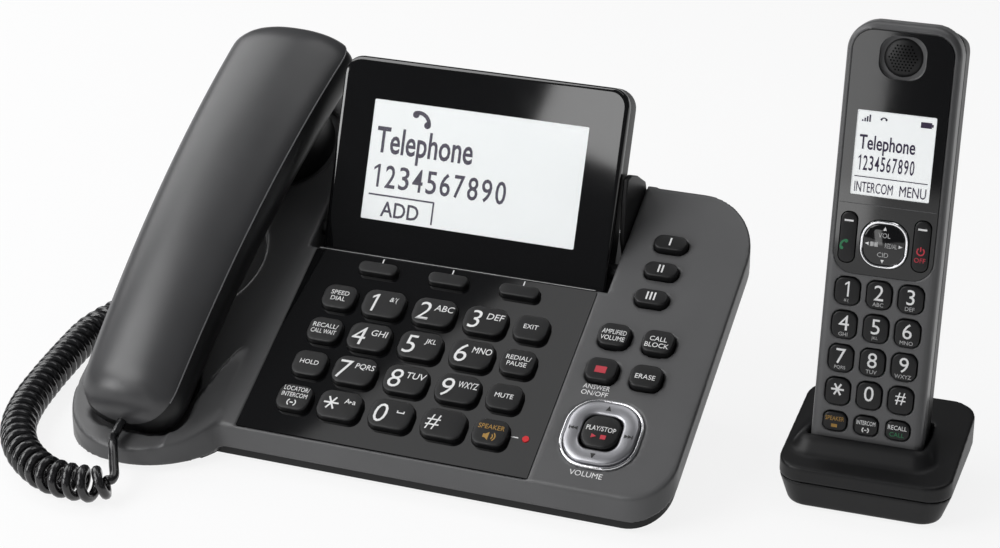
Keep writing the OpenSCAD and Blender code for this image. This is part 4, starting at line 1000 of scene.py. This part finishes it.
C_WALL, C_JOINT, C_EDGE, C_BACK_EDGE = 1.8, 0.15, 3.4, 5.5
C_INSIDE, C_TOP_SET, C_TOP_EDGE, C_R = (-7.8, 7.9), 0.5, 3, (4, 10)
C_PANEL, C_NAV_HOLE = (C_W - 4.5, C_PANEL_HIGH - C_PANEL_Y, 7), (C_NAV + 0.6, C_NAV + 0.6, 6.8)
C_PANEL_SUNK, C_EAR_SEAT, C_EAR_SUNK = 0.8, (15.6, 14.4, 5.5), 1.6
C_COVER, C_COVER_AT, C_COVER_Z = (27.4, 54.4, 3), (0, 44), -6
DOME_R, DOME_TOP, DOME_FALL = 6.4, 10.1, 1.6
HOLE_R, HOLE_PITCH, HOLE_FIELD = 0.3, 1.15, 4.8
C_DIAL_AT = [((i % 3 - 1) * C_PITCH, C_ROW_Y + (1 - i // 3) * C_ROW) for i in range(12)]
C_LOW_AT = [((i - 1) * C_PITCH, C_LOW_Y) for i in range(3)]


def cordless_plan(x, y):
    return box2(x, y, C_W, C_LEN, np.where(y > C_LEN / 2, C_R[1], C_R[0]), (0, C_LEN / 2))


def cordless_front(x, y, z):
    plan = cordless_plan(x, y)
    d = np.maximum(both(plan, z - C_FRONT, C_EDGE), C_SPLIT + C_JOINT - z)
    d = np.maximum(d, -np.maximum(plan + C_WALL, z - C_INSIDE[1]))
    panel = box2(x, y, *C_PANEL, (0, (C_PANEL_HIGH + C_PANEL_Y) / 2))
    cuts = [np.maximum(panel, C_FRONT - C_PANEL_SUNK - z), box2(x, y, *C_NAV_HOLE, C_NAV_AT),
            box2(x, y, *C_LCD, 0.5, (0, C_LCD_Y + C_LCD[1] / 2)),
            np.maximum(box2(x, y, *C_EAR_SEAT, (0, C_EAR_Y)), C_FRONT - C_EAR_SUNK - z)]
    cuts += [box2(x, y, *C_KEY_HOLE, at) for at in C_DIAL_AT]
    cuts += [box2(x, y, *C_LOW_HOLE, at) for at in C_LOW_AT]
    cuts += [box2(x, y, *C_LONG_HOLE, at) for at in (C_TALK_AT, C_OFF_AT)]
    return without(d, cuts)


def cordless_rear(x, y, z):
    plan = cordless_plan(x, y)
    c, s = unit(C_TOP_SLOPE)
    top = (y - C_LEN + C_TOP_SET) * c - (z - C_SPLIT) * s
    d = np.maximum(both(both(plan, C_BACK - z, C_BACK_EDGE), top, C_TOP_EDGE), z - C_SPLIT + C_JOINT)
    d = np.maximum(d, -np.maximum(np.maximum(plan, top) + C_WALL, C_INSIDE[0] - z))
    return np.maximum(d, -np.maximum(box2(x, y, *C_COVER, C_COVER_AT), z - C_COVER_Z))


def make_ear_dome():
    """Rounded earpiece with rows of small holes, drawn as near-black dots of painted shade."""
    def height(x, y):
        return DOME_TOP - DOME_FALL * (math.hypot(x, y - C_EAR_Y) / DOME_R) ** 2

    rings = [level(circle(0, C_EAR_Y, DOME_R, 40), 8.4)]
    for r in (6.3, 5.4, 4.2, 2.8, 1.4, 0.2):
        rings.append([(x, y, height(x, y)) for x, y in circle(0, C_EAR_Y, r, 40)])
    piece("cordless_ear_dome", *loft(rings), CORDLESS, MATT, "cordless_handset", ["cordless_earpiece"], "black_case",
          sharp=50)
    marks = Print("cordless_ear_hole_shade", "cordless_handset", CORDLESS)
    marks.on((0, C_EAR_Y), height)
    for y in range(-4, 5):
        for k in range(-5, 6):
            x = HOLE_PITCH * (k + 0.5 * (y % 2))
            if math.hypot(x, y) < HOLE_FIELD:
                # Each hole is a flat near-black dot: painted shade.
                marks.add(polygon(circle(x, y, HOLE_R, 8)), HOLE_SHADE)
    marks.make()


def make_cordless_keys():
    def part(name, kind, size, places, legends, cap=C_CAP):
        printed_keys(name + kind, size, places, legends, CORDLESS, C_FOOT, cap, name + "_print")

    legends = []
    for digit, letters in DIAL:
        sign = star(0, 0.9, 2.2) if digit == "*" else digits(digit, 0, 0.9, 4.2 if digit == "#" else 5.2)
        legends.append([(sign, WHITE)])
        if letters:
            legends[-1].append((text(letters, 0, -3.1, 1.35, most=5.6), SOFT_WHITE))
    part("cordless_dial", "_keys", C_KEY, C_DIAL_AT, legends)
    low = [("SPEAKER", AMBER, bar(0, -1.3, 2.0, 1.1), AMBER), ("INTERCOM", WHITE, call_icon(0, -1.3, 0.9), WHITE),
           ("RECALL", WHITE, text("CALL", 0, -1.2, 1.5), GREEN)]
    legends = [[(text(words, 0, 1.2, 1.5, most=6.4), tone), (sign, other)] for words, tone, sign, other in low]
    part("cordless_bottom", "_keys", C_LOW_KEY, C_LOW_AT, legends)
    line = (bar(0, 5.8, 3.0, 0.6), WHITE)
    talk = receiver_icon(0, -3.0, 2.1, 60)
    off = [band(0, -1.6, 1.2, 0.45, 125, 415, 20), bar(0, -0.8, 0.45, 1.5), text("OFF", 0, -4.6, 1.6, most=3.8)]
    part("cordless_talk", "_key", C_LONG_KEY, [C_TALK_AT], [[line, (talk, GREEN)]], C_LONG_CAP)
    part("cordless_off", "_key", C_LONG_KEY, [C_OFF_AT], [[line, (off, RED)]], C_LONG_CAP)


def make_cordless_navigator():
    shape = Shape()
    shape.add(*key_cap(C_NAV_KEY, C_NAV_AT, C_FOOT, **C_NAV_CAP), mark=1)
    shape.add(*square_hoop(C_NAV, 6.5, C_NAV_AT, C_NAV_RIM))
    shape.make("cordless_navigator_ring", CORDLESS, [CHROME, GLOSS], "cordless_navigator", ["cordless_navigator"],
               "chrome_trim")
    marks = Print("cordless_navigator_print", "cordless_navigator", CORDLESS)
    marks.on_key(C_NAV_KEY, C_NAV_AT, **C_NAV_CAP)
    for a in (0, 90, 180, 270):
        marks.add(arrow(*polar(0, 0, 5.5, math.radians(a)), 0.75, a), WHITE)
    for words, x, y in (("VOL", 0, 3.3), ("CID", 0, -3.3), ("REDIAL", 2.5, 0)):
        marks.add(text(words, x, y, 1.6, most=4.0), SOFT_WHITE)
    marks.add([bar(x, 0, 1.2, 1.5) for x in (-3.9, -2.5)], SOFT_WHITE)
    marks.make()


def make_cordless_screen():
    w, h = C_LCD
    marks = Print("cordless_print", "cordless_handset", CORDLESS)
    marks.on((-w / 2, C_LCD_Y), C_LCD_Z)
    lcd_lines(marks, w, h, [
        ("Telephone", 0.06, 0.60, 6.4, 18.6, 0.014), ("1234567890", 0.05, 0.385, 5.0, 19.4, 0.008),
        ("INTERCOM", 0.05, 0.10, 3.5, 12.8, 0.0), ("MENU", 0.62, 0.10, 3.5, 8.8, 0.0),
    ])
    marks.add(bar(w / 2, h * 0.22, w * 0.92, 0.3), INK)
    marks.add([bar(2 + k * 0.8, h * 0.90 - 1 + (k + 1) * 0.3, 0.5, 0.6 * (k + 1)) for k in range(4)], INK)
    marks.add(receiver_icon(9, h * 0.885, 1.2, 0), INK)
    marks.add([bar(w - 3.4, h * 0.90, 3.6, 1.9), bar(w - 1.3, h * 0.90, 0.5, 0.9)], INK)
    marks.on((0, C_LCD_Y - 2.9), C_FRONT)
    marks.add(bar(0, 0, C_W - 5.6, 0.2), SATIN)
    marks.make()


def make_cordless():
    moulded("cordless_front", cordless_front, (-20.1, -1.1, 0.4), (20.5, 156, 11), (0.5, 0.5, 0.45), CORDLESS, SATIN,
            "cordless_handset", ["cordless_front_case"], "satin_grey", keep=0.4)
    moulded("cordless_back", cordless_rear, (-20.3, -1.2, -12.9), (20.6, 156, 1.6), (0.7, 0.7, 0.6), CORDLESS, MATT,
            "cordless_handset", ["cordless_rear_case"], "black_case", keep=0.4)
    make_cordless_keys()
    make_cordless_navigator()
    make_ear_dome()
    make_cordless_screen()


make_cordless()


# Charger

CH_W, CH_D, CH_SPLIT = 59, 55, 11
CH_FRONT_H, CH_REAR_H = 16.5, 23
CH_FOOT, CH_JOINT = 1.2, 0.1
CH_R, CH_FOOT_R, CH_TAPER, CH_SET = 9, 7, (7, 18), 7
COLLAR_FOOT, COLLAR_TOP, COLLAR_GROW, COLLAR_R = 5, 13, (16, 10), (5, 4)
COLLAR_PLAN = (CH_W - 0.6, CH_D - 0.6, CH_R - 0.3)
CUP_T, CUP_MID, CUP_GAP, CUP_R = C_FRONT - C_BACK, (C_FRONT + C_BACK) / 2, 1.6, 1.5
# Roundings of edges and inner corners
CH_EDGE, CH_SEAM_EDGE, CH_FOOT_EDGE, COLLAR_EDGE, COLLAR_SIDE, COLLAR_FILLET, CUP_EDGE = 0.9, 0.5, 1.5, 2.6, 2, 1.2, 1
CH_SLOPE = math.atan((CH_REAR_H - CH_FRONT_H) / CH_D)


def charger_upper(x, y, z):
    slope = (z - CH_FRONT_H - (y + CH_D / 2) * math.tan(CH_SLOPE)) * math.cos(CH_SLOPE)
    d = both(box2(x, y, CH_W, CH_D, CH_R), slope, CH_EDGE)
    c, s = unit(CUP_LEAN)
    px, py, pz = x - CUP_AT[0], y - CUP_AT[1], z - CUP_AT[2]
    along, out = py * c + pz * s, -py * s + pz * c - CUP_MID
    rise = COLLAR_TOP - COLLAR_FOOT
    grow = COLLAR_GROW[0] - np.clip((along - COLLAR_FOOT) / rise, -0.2, 1) * COLLAR_GROW[1]
    r = COLLAR_R[0] + np.clip((COLLAR_TOP - along) / rise, 0, 1.2) * COLLAR_R[1]
    collar = box2(px, out, C_W + grow, CUP_T + grow, r)
    collar = both(collar, along - COLLAR_TOP - CH_JOINT, COLLAR_EDGE)
    collar = both(collar, box2(x, y, *COLLAR_PLAN), COLLAR_SIDE)
    d = either(d, np.maximum(collar, CH_SPLIT - z), COLLAR_FILLET)
    d = both(d, CH_SPLIT + CH_JOINT - z, CH_SEAM_EDGE)
    return both(d, -np.maximum(box2(px, out, C_W + CUP_GAP, CUP_T + CUP_GAP, CUP_R), -along), CUP_EDGE)


def charger_lower(x, y, z):
    t = np.clip((z - CH_FOOT) / (CH_SPLIT - CH_FOOT), 0, 1)
    r = CH_FOOT_R + (CH_R - CH_FOOT_R) * t
    d = box2(x, y, CH_W - CH_TAPER[0] * (1 - t), CH_D - CH_TAPER[1] * (1 - t), r, (0, -CH_SET * (1 - t)))
    return both(both(d, z - CH_SPLIT + CH_JOINT, CH_SEAM_EDGE), CH_FOOT - z, CH_FOOT_EDGE)


def make_charger():
    moulded("charger_top", charger_upper, (-30.7, -28.7, 9), (31, 29, 31), (0.6, 0.6, 0.6), CHARGER, MATT,
            "base_unit", ["charger_upper_case"], "black_case", keep=0.5)
    moulded("charger_foot", charger_lower, (-30.6, -28.6, 0.3), (31, 29, 12), (0.6, 0.6, 0.5), CHARGER, MATT,
            "base_unit", ["charger_lower_case"], "black_case", keep=0.5)


make_charger()


# Finishes of the CAD nodes that stay

KEPT = {
    MATT: ["base_lower_case", "base_sockets", "hook_switch", "handset_receiver", "handset_microphone",
           "cordless_battery_cover", "display_hinge_pins"],
    GLOSS: ["keypad_panel", "cordless_window", "cord_plug_handset", "cord_plug_base"],
    BOARD: ["base_circuit_board", "cordless_circuit_board"],
    MAT_RUBBER: ["base_key_mat"],
    RUBBER: ["base_feet", "charger_feet"],
    SPEAKER: ["base_loudspeaker"],
    STEEL: ["base_screws"],
    LENS: ["speakerphone_lamp"],
    LCD: ["cordless_lcd"],
    BRASS: ["charger_contacts"],
    CELL: ["cordless_batteries"],
}
for material, names in KEPT.items():
    for name in names:
        mesh = nodes[name].data
        mesh.materials.clear()
        mesh.materials.append(material)


# Floor, world and lamps

FLOOR_TONE, GLOW_SHARE = (0.86, 0.86, 0.87, 1), 0.86
WORLD_TONE, WORLD_LIGHT = (0.95, 0.97, 1, 1), 0.1


def make_floor():
    """Pale floor that keeps the shadow. What looks at it or mirrors it sees it mostly white."""
    m = bpy.data.materials.new("pale_floor")
    m.use_nodes = True
    tree = m.node_tree
    tree.nodes.clear()
    make, link = tree.nodes.new, tree.links.new
    out, mix, path = make("ShaderNodeOutputMaterial"), make("ShaderNodeMixShader"), make("ShaderNodeLightPath")
    matt, glow = make("ShaderNodeBsdfDiffuse"), make("ShaderNodeEmission")
    put(matt, Color=FLOOR_TONE)
    put(glow, Color=(1, 1, 1, 1))

    def combine(operation, first, second):
        n = make("ShaderNodeMath")
        n.operation = operation
        link(first, n.inputs[0])
        if isinstance(second, float):
            n.inputs[1].default_value = second
        else:
            link(second, n.inputs[1])
        return n.outputs[0]

    seen = combine("MAXIMUM", path.outputs["Is Camera Ray"], path.outputs["Is Glossy Ray"])
    seen = combine("MAXIMUM", seen, path.outputs["Is Transmission Ray"])
    link(combine("MULTIPLY", seen, GLOW_SHARE), mix.inputs["Fac"])
    link(matt.outputs[0], mix.inputs[1])
    link(glow.outputs[0], mix.inputs[2])
    link(mix.outputs[0], out.inputs["Surface"])
    mesh = bpy.data.meshes.new("floor")
    mesh.from_pydata([(-4, -3, 0), (4, -3, 0), (4, 5, 0), (-4, 5, 0)], [], [(0, 1, 2, 3)])
    mesh.materials.append(m)
    return in_scene("floor", mesh)


def make_world():
    world = bpy.data.worlds.new("room")
    world.use_nodes = True
    put(world.node_tree.nodes["Background"], Color=WORLD_TONE, Strength=WORLD_LIGHT)
    bpy.context.scene.world = world


def lamp(name, at, aim, size, power, along=None):
    """A soft area lamp. along turns its first side that way."""
    data = bpy.data.lights.new(name, "AREA")
    data.shape, data.size, data.size_y, data.energy = "RECTANGLE", size[0], size[1], power
    ob = in_scene(name, data)
    ob.location = at
    turn = (Vector(aim) - Vector(at)).to_track_quat("-Z", "Y")
    if along:
        z = (Vector(at) - Vector(aim)).normalized()
        x = (Vector(along) - z * z.dot(Vector(along))).normalized()
        turn = Matrix((x, z.cross(x), z)).transposed().to_quaternion()
    ob.rotation_euler = turn.to_euler()
    ob.visible_camera = False


make_world()
# Place and aim in metres, sides of the lamp, power in watts
lamp("key_lamp", (-0.8, -0.65, 1.05), (0, 0, 0.04), (1.1, 0.7), 12)
lamp("top_lamp", (0.13, 0.47, 1.2), (0, 0, 0.05), (1.0, 0.6), 2.8)
lamp("left_strip", (-0.85, 0.32, 0.72), (-0.1, 0, 0.08), (0.6, 0.9), 4.2)
lamp("front_left", (-0.85, -0.9, 0.35), (0, 0, 0.05), (0.4, 0.4), 4)
lamp("fill_lamp", (0.9, -0.7, 0.7), (0, 0, 0.05), (0.6, 0.6), 0.2)
lamp("display_card", (-0.29, -0.9, 0.48), (0, 0, 0.12), (0.11, 0.11), 0.18, along=(0.96, 0, -0.28))
lamp("cordless_card", (-0.058, -0.9, 0.12), (0.12, 0, 0.1), (0.085, 0.17), 0.11)
lamp("panel_card", (-0.378, 0.014, 1.1), (-0.03, -0.01, 0.05), (0.3, 0.14), 0.13, along=(-0.71, -0.705, 0))
bpy.context.scene.view_settings.view_transform = "Standard"
make_floor()
